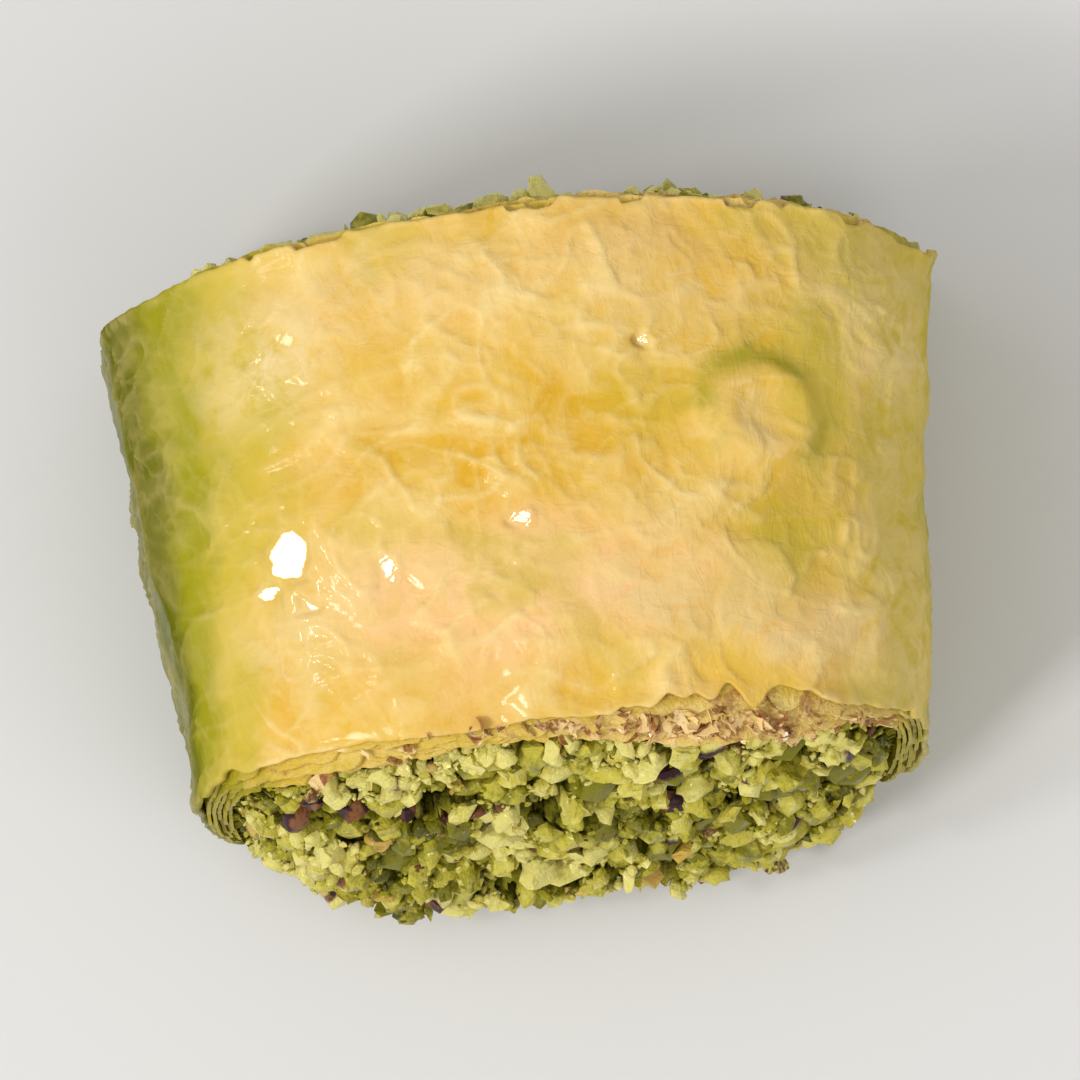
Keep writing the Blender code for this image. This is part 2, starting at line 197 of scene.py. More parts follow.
FLANK_LEFT = 22.8 * MM  # the height at which the left flank starts to show green
FLANK_LEFT_FADE = 3.6 * MM
FLANK_SLANT = 0.24  # how much higher it starts, for each step toward the back
FLANK_SLANT_RIGHT = 0.12
SLANT_END = 2.5 * MM  # behind this it rises no more
FLANK_RIGHT = 22.2 * MM
FLANK_RIGHT_FADE = 4.5 * MM
GREEN_TOP = (19.5 * MM, 21.8 * MM)  # where the green starts to deepen, right and left
GREEN_FADE = 8.5 * MM

# The filling's form, as its solid has it.
FILLING_DEPTH = FILO_THICKNESS + 0.3 * MM
FRONT_BULGE = 3.9 * MM
BACK_BULGE = 1.4 * MM
BULGE_POWER = 7.0  # how steeply the bulge rises from its rim
RIGHT_BULGE = 0.85  # how much of it there is at the right, and at the top
TOP_BULGE = 0.28
COLLAR = 1.3 * MM  # how far the filling stands out all round, low down
FOOT_DROP = 1.3 * MM  # how far it sags there
FOOT_HEIGHT = 8.0 * MM
FOOT_START = 0.02
FOOT_FULL = 0.12
CRAGS = ((0.55 * MM, 2.6 * MM), (0.3 * MM, 1.3 * MM))  # heights and sizes
NUT_LONG = 3.0 * MM
NUT_SHORT = 1.4 * MM
FRONT_NUTS = 108
BACK_NUTS = 68
NUT_SINK = 0.16
NUT_SPACING = 0.66
CLEARANCE = 0.3 * MM

SKINS_LEFT_OF = -5 * MM  # where most of the nut pieces keep their skins
SKINS_ABOVE = 14 * MM
SKIN_SHARES = (0.6, 0.16)  # how many keep them there, and elsewhere
SKINNED = ((-8.8, 15.4), (-10.5, 15.7), (-11.3, 13.9))  # (x, z) of three that do, in millimetres
GOLDEN = ((5.3, 2.2), (3.8, 4.2))  # and of two that are golden brown
SHOWN_SIDE = Vector((-0.3, -0.4, 0.85))  # the way that the skin of these five looks

# The paste's fine face.
FACE_COLUMNS = 232
FACE_ROWS = 168
PASTE_DEPTH = FILO_THICKNESS + 0.05 * MM
GRAINS = ((0.5 * MM, 1.5 * MM), (0.26 * MM, 0.75 * MM))  # heights and sizes of its bound crumbs
GRIT = ((0.06 * MM, 0.3 * MM),)
PASTE_SINK = 0.45 * MM  # how far the paste lies back behind the crumbs
PIT_DEPTH = 1.2 * MM
PIT_SIZE = 1.3 * MM
PIT_WARP = (0.6 * MM, 0.9 * MM)
PIT_LEVEL = 0.13
FALLEN = (  # (x, z, half width) of the gaps in front where pieces have fallen out, in millimetres
    (-6.3, 15.6, 0.95), (-1.5, 14.0, 0.85), (-3.3, 12.4, 0.6), (-2.2, 6.3, 0.9), (0.8, 12.7, 0.8),
    (4.5, 5.4, 0.85), (2.2, 4.6, 0.75), (-9.2, 4.7, 0.95), (-11.8, 5.1, 0.85), (7.2, 5.1, 0.6),
)
FALLEN_TALL = 1.4  # how much taller than wide these are
FALLEN_DEPTH = 1.6  # how much deeper than the other pits
BACK_CRUMB_TOP = 19 * MM  # the crumbs behind lie below this height, under the filo's edge

# Crumbs on the filling: how many in front and behind, the longest and shortest, how far apart they
# keep, as a share of their size, and how far out the middles of the deepest and highest lie.
KERNELS = (185, 150, 2.2 * MM, 1.2 * MM, 0.6, (-0.1, 0.2))
CRUMBS = (600, 480, 1.2 * MM, 0.55 * MM, 0.55, (-0.2, 0.35))
MEAL = (1700, 1300, 0.5 * MM, 0.22 * MM, 0.5, (-0.1, 0.7))
# Painted light: crumbs near the top of the filling are painted paler, as if lit from above.
TOP_PAINTED_LIGHT = 0.75  # how much paler they are at the top
CLUMP_TONE = 0.9  # how much paler or darker they are in clumps
CLUMP_SIZE = 2.6 * MM
CLUMPS_AT = Vector((5.5, 2.0, 15.0))  # settles where the clumps lie
BARE_FROM = 2.1 * MM  # crumbs leave pieces of nut longer than this in sight,
BARE = 0.36  # as far from their middles as this share of them

# Broken scraps of leaf on the front rim.
FLAKES = 150
FLAKE_LONG = 1.3 * MM
FLAKE_SHORT = 0.4 * MM
FLAKE_THICKNESS = 0.05 * MM
FLAKE_TURN = 0.425  # most of them lie round this place, right of the crown
FLAKE_SPREAD = 0.035
FLAKE_SHARE = 0.88  # how many of them do
FLAKE_RANGE = (0.3, 0.68)  # where the others lie

# Lights, with their azimuth (0 in front, 90 at the right), elevation, distance, size and radiance.
LIGHTS = (
    ("key", -62, 50, 0.7, 0.14, 25.0), ("second", -85, 42, 0.7, 0.09, 27.0),
    ("sheen", -112, 62, 0.8, 0.36, 1.5), ("fill", 40, 50, 0.9, 0.6, 1.2),
)
SKY = 0.46  # how bright the even light from all around is
EYE = (-3, 84)  # the camera's azimuth and elevation
EYE_TURN = -6  # how far the picture is turned, in degrees
EYE_DISTANCE = 1.2
VIEW_WIDTH = 47 * MM

OUTLINE_SAMPLES = 1440
MERGE = 1e-6  # points nearer to each other than this are one
WARP_SEED = 7  # settles where the wandering outlines wander


def held(value):
    """The value, kept between 0 and 1."""
    return min(1.0, max(0.0, value))


def smooth(value):
    """0 below 0, 1 above 1, and an even curve between."""
    value = held(value)
    return value * value * (3 - 2 * value)


def hump(value, middle, width):
    """1 in the middle, falling evenly toward 0 on both sides."""
    return math.exp(-(((value - middle) / width) ** 2))


def blend(a, b, share):
    return a + (b - a) * share


def stretched(value, power):
    """A cosine or sine, pulled outward so that its ellipse grows square shoulders."""
    return math.copysign(abs(value) ** (2 / power), value)


def width_at(along):
    """The width, from the front cut at 0 to the back cut at 1."""
    return blend(FRONT_WIDTH, BACK_WIDTH, along)


def height_at(along):
    """The crown's height, which falls a little at both cuts."""
    front = FRONT_DIP * (1 - smooth(along / DIP_REACH))
    back = BACK_DIP * (1 - smooth((1 - along) / DIP_REACH))
    return HEIGHT - front - back


def outline(along, depth, turns):
    """Points (x, z) round the roll at a depth below its surface.

    turns says where, as shares of the way from the middle of the base by the right side.
    """
    height = height_at(along)
    half_width = width_at(along) / 2 - depth
    half_height = (height + BASE_CUT) / 2 - depth
    middle = (height - BASE_CUT) / 2
    fine = []
    for step in range(OUTLINE_SAMPLES + 1):
        angle = 2 * math.pi * step / OUTLINE_SAMPLES - math.pi / 2
        power = blend(BASE_POWER, CROWN_POWER, smooth(0.5 + math.sin(angle)))
        x = half_width * stretched(math.cos(angle), power)
        z = middle + half_height * stretched(math.sin(angle), power)
        fine.append((x, max(z, depth)))
    return on_path(fine, turns)


def on_path(path, shares):
    """The points at those shares of a closed path's length."""
    path = np.array(path)
    steps = np.hypot(*np.diff(path, axis=0).T)
    lengths = np.concatenate([[0.0], np.cumsum(steps)])
    wanted = lengths[-1] * np.array(shares)
    across = np.interp(wanted, lengths, path[:, 0])
    up = np.interp(wanted, lengths, path[:, 1])
    return list(zip(across.tolist(), up.tolist()))


def leaf_turns():
    """Where the points round a leaf lie: close together but for the underside."""
    half = BASE_POINTS // 2
    right = [BASE_TURN * step / half for step in range(half)]
    over = AROUND - BASE_POINTS
    crown = [blend(BASE_TURN, 1 - BASE_TURN, step / over) for step in range(over)]
    left = [1 - BASE_TURN * (half - step) / half for step in range(half)]
    return right + crown + left


TURNS = leaf_turns()


def floor_gap(x, along):
    """How far the base stands clear of the floor: not at all at its four corners."""
    across = min(1.0, abs(2 * x / width_at(along)) / BASE_REACH)
    return BASE_ARCH * (1 - (across * (2 * along - 1)) ** 2)


def leaned(x, y, z):
    """The point as the roll leans, its crown back and to the right, and its back cut drawn in."""
    rise = z / HEIGHT
    back = smooth(y / LENGTH + 0.5)
    lean = blend(FRONT_LEAN, BACK_LEAN, back)
    tuck = TUCK * back * smooth(z / TUCK_RISE) * (2 * x / BACK_WIDTH) ** 2
    return Vector((x + CROWN_SHIFT * rise, y + lean * (rise - 0.5) - tuck, z))


def round_cut(turn, level):
    """A place on a circle, so that noise there has no seam. Each level has its own."""
    angle = 2 * math.pi * turn
    return Vector((math.cos(angle), math.sin(angle), level))


def off_base(turn):
    """0 on the flat underside, where the leaves lie still, and 1 round the rest."""
    return smooth((min(turn, 1 - turn) - FLAT_TURN) / FLAT_FADE)


def leaf_end(turn, end, leaf):
    """How far a cut edge stands out from the end of the roll. leaf runs from 0, outside, to 2."""
    wander = noise(2.3 * round_cut(turn, 3.7 * end + 1.3 * leaf))
    lip = LEAF_LIP / 2 * leaf * (0.6 + 0.4 * math.sin(4 * math.pi * turn + end))
    flap = 0.0
    if leaf and not end:
        flap = FLAP_REACH * hump(turn, FLAP_TURN, FLAP_WIDTH) * (leaf / 2) ** 0.7
    return off_base(turn) * LEAF_WANDER * wander + lip + flap


def blister(x, y):
    """A ring-shaped bubble in the crown: a raised rim round a sunken middle."""
    reach = math.hypot(x - BLISTER_AT[0], y - BLISTER_AT[1])
    return BLISTER_HEIGHT * hump(reach, BLISTER_RADIUS, BLISTER_RIM)


def grown(z):
    """How much of the relief there is at that height."""
    return smooth((z - RELIEF_START) / (RELIEF_FULL - RELIEF_START))


def relief(place, turn):
    """How far the filo stands out from its plain form."""
    swell = SWELL * noise(place / SWELL_SIZE + Vector((4.2, 0.7, 1.9)))
    crinkle = CRINKLE * noise(place / CRINKLE_SIZE)
    top = blister(place.x, place.y) if place.z > HEIGHT / 2 else 0.0
    edge = LAP_TURN + 0.006 * noise(Vector((place.y / (4 * MM), 0.0, 2.7)))
    lap = LAP_STEP * smooth(1 - (turn - edge) / LAP_FADE) if turn > edge else 0.0
    return grown(place.z) * (swell + crinkle + top) + lap * smooth(place.z / RELIEF_FULL)


# Fine filo


def warped(place, reach, size):
    """The place pushed about, so that a pattern there gets a wandering outline."""
    return place + reach * noise_vector(place / size)


def puffed(place):
    """1 where the outer leaf has parted from the next and shows pale."""
    bent = warped(place, *PUFF_WARP)
    level = noise(bent / PUFF_SIZE + Vector((7.3, 2.1, 5.5)))
    return smooth((level - 0.08) / 0.14)


def bubbled(place):
    """Small domes, each with a crisp foot: 1 at the top of one."""
    near, points = voronoi(warped(place, *BUBBLE_WARP) / BUBBLE_SIZE)
    size = 0.5 * cell(9.1 * points[0])
    if size < BUBBLE_LEAST:
        return 0.0
    return size / 0.5 * max(0.0, 1 - (near[0] / size) ** 2) ** 0.7


def crest(level, size):
    """1 where noise of that size crosses its middle, falling sharply beside it."""
    return max(0.0, 1 - abs(level) * size / CREST) ** 1.4


def creased(place, turn):
    """The height of sharp creases and long wrinkles, most where the leaf was slack."""
    slack = smooth(0.5 + 1.5 * noise(place / SLACK_SIZE + Vector((1.0, 3.0, 8.0))))
    height = 0.0
    for high, size in CREASES:
        bent = warped(place, 0.5 * size, 0.8 * size)
        height += slack * high * crest(noise(bent / size), size)
    bent = warped(Vector((turn * ROUND, place.y, 0.0)), *WRINKLE_WARP)
    for high, across, along, degrees in WRINKLES:
        way = math.radians(degrees)
        far = bent.x * math.cos(way) + bent.y * math.sin(way)
        beside = bent.y * math.cos(way) - bent.x * math.sin(way)
        here = smooth(0.6 + 2 * noise(bent / (5 * MM) + Vector((0.0, 0.0, degrees))))
        level = noise(Vector((far / along, beside / across, 0.37 * degrees)))
        height += here * high * crest(level, across)
    return height


def fine_relief(place, turn):
    """The bubbles, puffs, creases and ripples of the outer leaf."""
    ripple = RIPPLE * noise(place / RIPPLE_SIZE)
    lifted = BUBBLE_HEIGHT * bubbled(place) + PUFF_HEIGHT * puffed(place)
    return lifted + creased(place, turn) + ripple


def crown_height(x, y):
    """How high the roll's plain crown is."""
    along = y / LENGTH + 0.5
    half_height = (height_at(along) + BASE_CUT) / 2
    across = abs(2 * x / width_at(along)) ** CROWN_POWER
    return height_at(along) + half_height * ((1 - across) ** (1 / CROWN_POWER) - 1)


def pane_share(place, pane):
    """1 on a smooth pane of the crown, and 0 outside it."""
    x, y, half_width, half_length, _ = pane
    wide, narrow = PANE_WARPS
    bent = warped(warped(place, *wide), *narrow) / MM
    reach = math.hypot((bent.x - x) / half_width, (bent.y - y) / half_length)
    return smooth((1 + PANE_FADE - reach) / PANE_FADE)


def levelled(place, out, outward):
    """How far the leaf stands out, drawn smooth in panes that all tilt one way."""
    if place.z < HEIGHT / 2:
        return out
    facing = Vector((-PANE_SLOPES[0], -PANE_SLOPES[1], 1.0))
    for pane in PANES:
        share = pane_share(place, pane)
        if share:
            x, y, rise = pane[0] * MM, pane[1] * MM, pane[4] * MM
            middle = Vector((x, y, crown_height(x, y) + rise))
            flat = facing.dot(middle - place) / facing.dot(outward)
            out = blend(out, flat, PANE_DRAWN * share)
    return out


def torn(turn):
    """1 in the middle of where the outer leaves have broken back from the front rim."""
    return smooth(2 - 2 * abs(turn - TORN_TURN) / TORN_WIDTH)


def frayed_end(turn, end, number):
    """Where one thin leaf ends beyond the cut, with its frayed and chipped edge."""
    round_roll = round_cut(turn, 0.0) * HEIGHT / 2
    own = Vector((0.0, 0.0, 40 * MM * (number + 1 + LEAVES * end)))
    fray = sum(height * noise((round_roll + own) / size) for height, size in FRAYS)
    chip = CHIP * smooth(6 * noise((round_roll - own) / CHIP_SIZE) - 1.8)
    lip = 2 * number / (LEAVES - 1) * (BACK_LIP_SHARE if end else 1.0)
    if not end:
        teeth = 1 + 1.2 * noise((round_roll + own) / TEAR_SIZE)
        chip += TORN * max(0.0, 1 - number / 2.5) * torn(turn) * teeth
    return leaf_end(turn, end, lip) + off_base(turn) * (fray * (LOWER_FRAY if number else 1.0) - chip)


def tip_curl(turn, end):
    """How much of its full curl the outer leaf has at a place round the cut."""
    return smooth(0.3 + 1.8 * noise(1.9 * round_cut(turn, 5.0 + 2 * end)))


def leaf_loop(along, depth, reach, lift):
    """One loop of (point, turn, plain place) round a leaf.

    reach says how far along the roll each of its points lies, and lift how far it stands off.
    """
    loop = []
    middle = height_at(along) / 2
    for step, (x, z) in enumerate(outline(along, depth, TURNS)):
        turn = TURNS[step]
        y = reach[step]
        at = held(y / LENGTH + 0.5)
        x *= width_at(at) / width_at(along)
        z *= height_at(at) / height_at(along)
        place = Vector((x, y, z))
        out = (1 - depth / FILO_THICKNESS) * relief(place, turn) + lift[step]
        far = math.hypot(x, z - middle)
        if depth == 0:
            out += grown(z) * fine_relief(place, turn)
            out = levelled(place, out, Vector((x, 0.0, z - middle)) / far)
        rise = out * (z - middle) / far
        point = leaned(x + out * x / far, y, max(z + rise, depth + floor_gap(x, along)))
        loop.append((point - ORIGIN, turn, place))
    return loop


def leaf_gap(turn, end, number):
    """How much further than usual a leaf lies below the one above it, at the cut."""
    return GAP * smooth(0.5 + 1.6 * noise(round_cut(turn, 1.7 * number + 9 * end) * 3))


def outer_leaf_loops():
    """The outer leaf: over the roll from front to back, and back again inside."""
    front = [-LENGTH / 2 - frayed_end(turn, 0, 0) for turn in TURNS]
    back = [LENGTH / 2 + frayed_end(turn, 1, 0) for turn in TURNS]
    curls = [[CURL * off_base(turn) * tip_curl(turn, end) for turn in TURNS] for end in (0, 1)]
    rows = [(row / (OUTER_ROWS - 1), 0.0) for row in range(OUTER_ROWS)]
    inside = UNDER_REACH / LENGTH
    under = [(inside * (row / UNDER_ROWS) ** 1.5, LEAF) for row in range(UNDER_ROWS)]
    under += [(1.3 * inside, FILO_THICKNESS)]
    rows += [(1 - share, depth) for share, depth in under]
    rows += [(share, depth) for share, depth in reversed(under)]
    loops = []
    for along, depth in rows:
        near = [smooth(1 - along / CURL_REACH), smooth(1 - (1 - along) / CURL_REACH)]
        reach = [blend(first, last, along) for first, last in zip(front, back)]
        lift = [near[0] * first + near[1] * last for first, last in zip(*curls)]
        loops.append(leaf_loop(along, depth, reach, lift))
    return loops


def lower_leaf_loops(number, end):
    """The end of a leaf below the outer one, from inside the roll to its cut edge and back."""
    side = 2 * end - 1
    inside = LENGTH / 2 - INNER_REACH
    edge = [LENGTH / 2 + frayed_end(turn, end, number) for turn in TURNS]
    gaps = [sum(leaf_gap(turn, end, above) for above in range(1, number + 1)) for turn in TURNS]
    shares = [(row / (INNER_ROWS - 1)) ** 0.7 for row in range(INNER_ROWS)]
    rows = [(share, 0.0) for share in shares]
    rows += [(share, LEAF) for share in reversed(shares)]
    loops = []
    for share, under in rows:
        reach = [side * blend(inside, far, share) for far in edge]
        lift = [-share * gap for gap in gaps]
        along = end - side * (1 - share) * INNER_REACH / LENGTH
        loops.append(leaf_loop(along, number * PITCH + under, reach, lift))
    return loops


# Making meshes


def pick(thing):
    """Selects that thing alone."""
    bpy.ops.object.select_all(action="DESELECT")
    thing.select_set(True)
    bpy.context.view_layer.objects.active = thing


@contextmanager
def editing(thing, action="SELECT"):
    """Opens a thing's mesh for the mesh operators, with all of it chosen, or nothing."""
    pick(thing)
    bpy.ops.object.mode_set(mode="EDIT")
    bpy.ops.mesh.select_all(action=action)
    yield
    bpy.ops.object.mode_set(mode="OBJECT")


def face_out(thing):
    """Turns all faces outward."""
    with editing(thing):
        bpy.ops.mesh.normals_make_consistent(inside=False)


def smooth_shaded(thing, angle):
    """Shades a thing smoothly across all edges less sharp than the angle."""
    pick(thing)
    bpy.ops.object.shade_smooth_by_angle(angle=math.radians(angle))


def joined(name, things):
    """The things as one object of that name."""
    pick(things[0])
    for thing in things:
        thing.select_set(True)
    bpy.ops.object.join()
    whole = bpy.context.object
    whole.name = whole.data.name = name
    return whole


def mesh_object(name, points, faces):
    """A new object of those points and faces."""
    data = bpy.data.meshes.new(name)
    data.from_pydata([tuple(point) for point in points], [], faces)
    thing = bpy.data.objects.new(name, data)
    bpy.context.scene.collection.objects.link(thing)
    return thing


def grid(columns, rows, size):
    """A new flat grid, to be bent into shape."""
    bpy.ops.mesh.primitive_grid_add(x_subdivisions=columns, y_subdivisions=rows, size=size)
    return bpy.context.object


def taken_apart(thing):
    """The points and faces of a thing, which is itself removed."""
    points = np.array([vert.co for vert in thing.data.vertices])
    faces = [tuple(face.vertices) for face in thing.data.polygons]
    bpy.data.objects.remove(thing)
    return points, faces


def set_out(name, laid, angle):
    """One object of many chips. laid has each one's (points, faces), turn, length and middle."""
    points, faces = [], []
    total = 0
    for (shape, sides), turn, length, middle in laid:
        points.append(length * shape @ np.array(turn).T + np.array(middle))
        faces += [[total + corner for corner in side] for side in sides]
        total += len(shape)
    whole = mesh_object(name, np.concatenate(points), faces)
    smooth_shaded(whole, angle)
    return whole


def mark(thing, name, values):
    """Keeps one number for each vertex, for the material to read."""
    attribute = thing.data.attributes.new(name, "FLOAT", "POINT")
    attribute.data.foreach_set("value", np.array(values, np.float32))


# Where the leaf is baked, soaked and dry


def spotted(place, table):
    """How much of a mark a table of spots gives a place on the crown."""
    if place.z < HEIGHT / 2:
        return 0.0
    bent = warped(place, *SPOT_WARP)
    whole = 0.0
    for x, y, half_width, half_length, share in table:
        across, along = (bent.x / MM - x) / half_width, (bent.y / MM - y) / half_length
        whole += share * math.exp(-(across**2) - along**2)
    return whole


def baked(place):
    """How far the oven has turned the leaf from gold to peach."""
    return held(spotted(place, BAKED) + 0.25 * noise(place / (3 * MM)))


def amber(place):
    """How far syrup has deepened the gold, in streaks."""
    bent = warped(place, *STREAK_WARP)
    bent.y += 0.5 * bent.x
    streak = noise(bent / STREAK_SIZE + Vector((2.0, 5.0, 7.0)))
    return held(spotted(place, AMBER) + 0.5 * smooth(2.5 * streak))


def cream(place):
    """Where the leaf is pale: in spots on the crown, and down the right flank."""
    flank = smooth((place.x - 12 * MM) / (4 * MM)) * smooth((21.5 * MM - place.z) / (3 * MM))
    return min(1.0, spotted(place, CREAM) + CREAM_FLANK * flank)


def leftness(place):
    """1 on the left flank, and 0 on the right."""
    return smooth(0.5 - place.x / (16 * MM))


def slant(place):
    """How much higher than in the middle the flank's green starts there."""
    rise = blend(FLANK_SLANT_RIGHT, FLANK_SLANT, leftness(place))
    return rise * (min(place.y, SLANT_END) + 2 * MM)


def soaked(place):
    """How far syrup has made the leaf clear, so that the green below shows, plus two spots of painted
    shade.
    """
    bent = warped(place, *SOAKED_WARP)
    start, fade = (FLANK_LEFT, FLANK_LEFT_FADE) if place.x < 0 else (FLANK_RIGHT, FLANK_RIGHT_FADE)
    flank = smooth((start - bent.z + slant(place)) / fade)
    patch = 0.5 * smooth(2.5 * noise(bent / (4.5 * MM) + Vector((3.0, 9.0, 1.0))) - 0.3)
    return min(1.0, max(flank, spotted(place, SOAKED_AND_SHADE), patch))


def green(place):
    """How deep the green is: most on the left flank, and low. Its greater depth on the left flank is
    painted shade.
    """
    left = leftness(place)
    high = blend(*GREEN_TOP, left) + slant(place)
    return smooth((high - place.z) / GREEN_FADE) * blend(0.5, 1.0, left)


def wet(place):
    """How thick the syrup lies: almost dry where the leaf has soaked it up, and up to 1."""
    thick = spotted(place, WET)
    if place.z > HEIGHT / 2:
        thick += max(pane_share(place, pane) for pane in PANES)
    pool = WET_POOL * smooth(3 * noise(place / POOL_SIZE + Vector((8.0, 1.0, 6.0))))
    low = WET_LOW * smooth((WET_LOW_BELOW - place.z) / WET_LOW_FADE)
    return min(1.0, WET_LEAST + thick + pool) * max(0.0, 1 - 2.5 * green(place)) + low


def ring(place):
    """The olive foot of the round blister: 1 on it."""
    if place.z < HEIGHT / 2:
        return 0.0
    bent = warped(place, *RING_WARP)
    reach = math.hypot(bent.x - BLISTER_AT[0], bent.y - BLISTER_AT[1])
    behind = (bent.y - BLISTER_AT[1]) / max(reach, MERGE)
    share = smooth(0.5 + 0.5 * behind + noise(place / (1.6 * MM)))
    return share * hump(reach, BLISTER_FOOT, BLISTER_LINE)


def mark_filo(band, spots):
    """Gives each vertex of the filo what its colour depends on."""
    places = [place for _, _, place in spots]
    for measure in (baked, soaked, amber, cream, green, wet, ring):
        mark(band, measure.__name__, [measure(place) for place in places])
    mark(band, "dry", [hump(turn, FLAP_TURN, DRY_WIDTH) for _, turn, _ in spots])
    mark(band, "puffed", [grown(place.z) * puffed(place) for place in places])
    mark(band, "bubble", [grown(place.z) * bubbled(place) for place in places])
    # The crease heights; the material paints their crests paler, as a painted highlight.
    creases = [grown(place.z) * creased(place, turn) for _, turn, place in spots]
    mark(band, "crease", [height / CREASES[0][0] for height in creases])
    mark(band, "tip", [smooth(1 + (abs(place.y) - LENGTH / 2) / TIP_PALE) for place in places])


def closed_leaf(name, loops):
    """A closed band whose wall follows the loops: over the roll and back, with its marks."""
    around, rows = len(loops[0]), len(loops)
    band = grid(around, rows, HEIGHT)
    band.name = band.data.name = name
    spots = [loops[row % rows][step % around] for row in range(rows + 1) for step in range(around + 1)]
    for vert, spot in zip(band.data.vertices, spots):
        vert.co = spot[0]
    mark_filo(band, spots)
    with editing(band):
        bpy.ops.mesh.remove_doubles(threshold=MERGE)
    return band


def lower_leaves():
    """The cut ends of the leaves below the outer one, in front and behind."""
    ends = [(number, end) for number in range(1, LEAVES) for end in (0, 1)]
    bands = [closed_leaf("leaf", lower_leaf_loops(number, end)) for number, end in ends]
    return joined("filo_lower_leaves", bands)


# The filling's form


def inward_share(x, z, end):
    """How far a point of the filling's face is from its rim: 0 at the rim, 1 at the middle."""
    height = height_at(end)
    half_width = width_at(end) / 2 - FILLING_DEPTH
    half_height = height / 2 - FILLING_DEPTH
    power = BASE_POWER if z < height / 2 else CROWN_POWER
    across = abs(x / half_width) ** power
    up = abs((z - height / 2) / half_height) ** power
    return max(0.0, 1 - (across + up) ** (1 / power))


def section_place(x, z, end):
    """A place for noise at (x, z) of the section, far from those of the other end."""
    return Vector((x, z, 40 * MM * (end + 1)))


def face_point(x, z, end):
    """The point of the filling's exposed end that lies over (x, z) of the section."""
    outward = 2 * end - 1
    bulge = BACK_BULGE if end else FRONT_BULGE
    share = inward_share(x, z, end)
    low = 1 - smooth(z / FOOT_HEIGHT)
    side = blend(1.0, RIGHT_BULGE, smooth(x / (FRONT_WIDTH / 2)))
    slump = blend(1.0, TOP_BULGE, smooth((z / HEIGHT - 0.1) / 0.85))
    dome = 1 - (1 - share) ** BULGE_POWER
    crags = sum(height * noise(section_place(x, z, end) / size) for height, size in CRAGS)
    stand_out = COLLAR * low + bulge * side * slump * dome + crags * smooth(5 * share)
    sag = FOOT_DROP * bulge / FRONT_BULGE * low
    sag *= smooth((share - FOOT_START) / (FOOT_FULL - FOOT_START)) * (1 - share)
    return leaned(x, LENGTH * (end - 0.5) + outward * stand_out, z - sag)


def fallen(x, z):
    """1 in a gap where a piece has fallen out of the front."""
    near = [math.hypot(x / MM - at, (z / MM - up) / FALLEN_TALL) / wide for at, up, wide in FALLEN]
    return smooth((1.3 - min(near)) / 0.6)


def pitted(x, z, end):
    """1 inside the small pits of the filling, painted dark as painted shade, and more in the deep ones.
    """
    bent = warped(section_place(x, z, end), *PIT_WARP)
    pit = smooth(4 * (noise(bent / PIT_SIZE) - PIT_LEVEL))
    return max(pit, 0.0 if end else FALLEN_DEPTH * fallen(bent.x, bent.y))


def granular(place):
    """Bound crumbs: how far they stand out, how deep between them it is, and their shade."""
    out = gap = shade = 0.0
    for height, size in GRAINS:
        near, points = voronoi(warped(place, 0.35 * size, 0.6 * size) / size)
        own = 0.5 + 0.5 * cell(7.3 * points[0])
        split = smooth((near[1] - near[0]) / 0.3)
        out += height * (0.7 * own + 0.5 * split - near[0] ** 2)
        gap = max(gap, (1 - split) * height / GRAINS[0][0])
        shade += 0.5 * own
    return out, gap, shade


def paste_point(x, z, end):
    """A point of the face with its crumbs and pits, how deep in one it is, and its shade."""
    place = section_place(x, z, end)
    inside = smooth(12 * inward_share(x, z, end))
    out, gap, shade = granular(place)
    out += sum(height * noise(place / size) for height, size in GRIT)
    pit = inside * pitted(x, z, end)
    out = (2 * end - 1) * inside * (out - PIT_DEPTH * pit - PASTE_SINK)
    return face_point(x, z, end) + Vector((0.0, out, 0.0)), min(1.0, max(pit, gap)), shade


def across_face(rim):
    """An even grid of points (x, z) that fills a rim. Its outer points are the rim's."""
    right, left = FACE_COLUMNS // 2, len(rim) - FACE_COLUMNS // 2
    wide, high = np.arange(FACE_COLUMNS + 1), np.arange(FACE_ROWS + 1)
    base, crown = rim[(left + wide) % len(rim)], rim[left - FACE_ROWS - wide]
    right_side, left_side = rim[right + high], rim[left - high]
    over = np.linspace(0, 1, FACE_COLUMNS + 1)[:, None]
    rows = []
    for row in range(FACE_ROWS + 1):
        up = row / FACE_ROWS
        sides = blend(left_side[row], right_side[row], over)
        corners = blend(blend(base[0], base[-1], over), blend(crown[0], crown[-1], over), up)
        rows.append(blend(base, crown, up) + sides - corners)
    return np.concatenate(rows)


def paste_face(end):
    """One exposed face of the paste, as a grid whose vertices lie on the face."""
    face = grid(FACE_COLUMNS, FACE_ROWS, HEIGHT)
    count = 2 * (FACE_COLUMNS + FACE_ROWS)
    rim = np.array(outline(end, PASTE_DEPTH, [step / count for step in range(count)]))
    pits, shades = [], []
    for vert, (x, z) in zip(face.data.vertices, across_face(rim).tolist()):
        point, pit, shade = paste_point(x, z, end)
        vert.co = point - ORIGIN
        pits.append(pit)
        shades.append(shade)
    # The pit mark also sets where the paste is painted dark: painted shade in its pits and gaps.
    mark(face, "pit", pits)
    mark(face, "tone", shades)
    return face


def paste():
    """The ground pistachio paste, from one cut end to the other."""
    core = joined("pistachio_paste", [paste_face(0), paste_face(1)])
    with editing(core, "DESELECT"):
        bpy.ops.mesh.select_non_manifold(extend=False)
        bpy.ops.mesh.bridge_edge_loops(number_cuts=3)
    face_out(core)
    smooth_shaded(core, 60)
    return core


# Nuts and crumbs


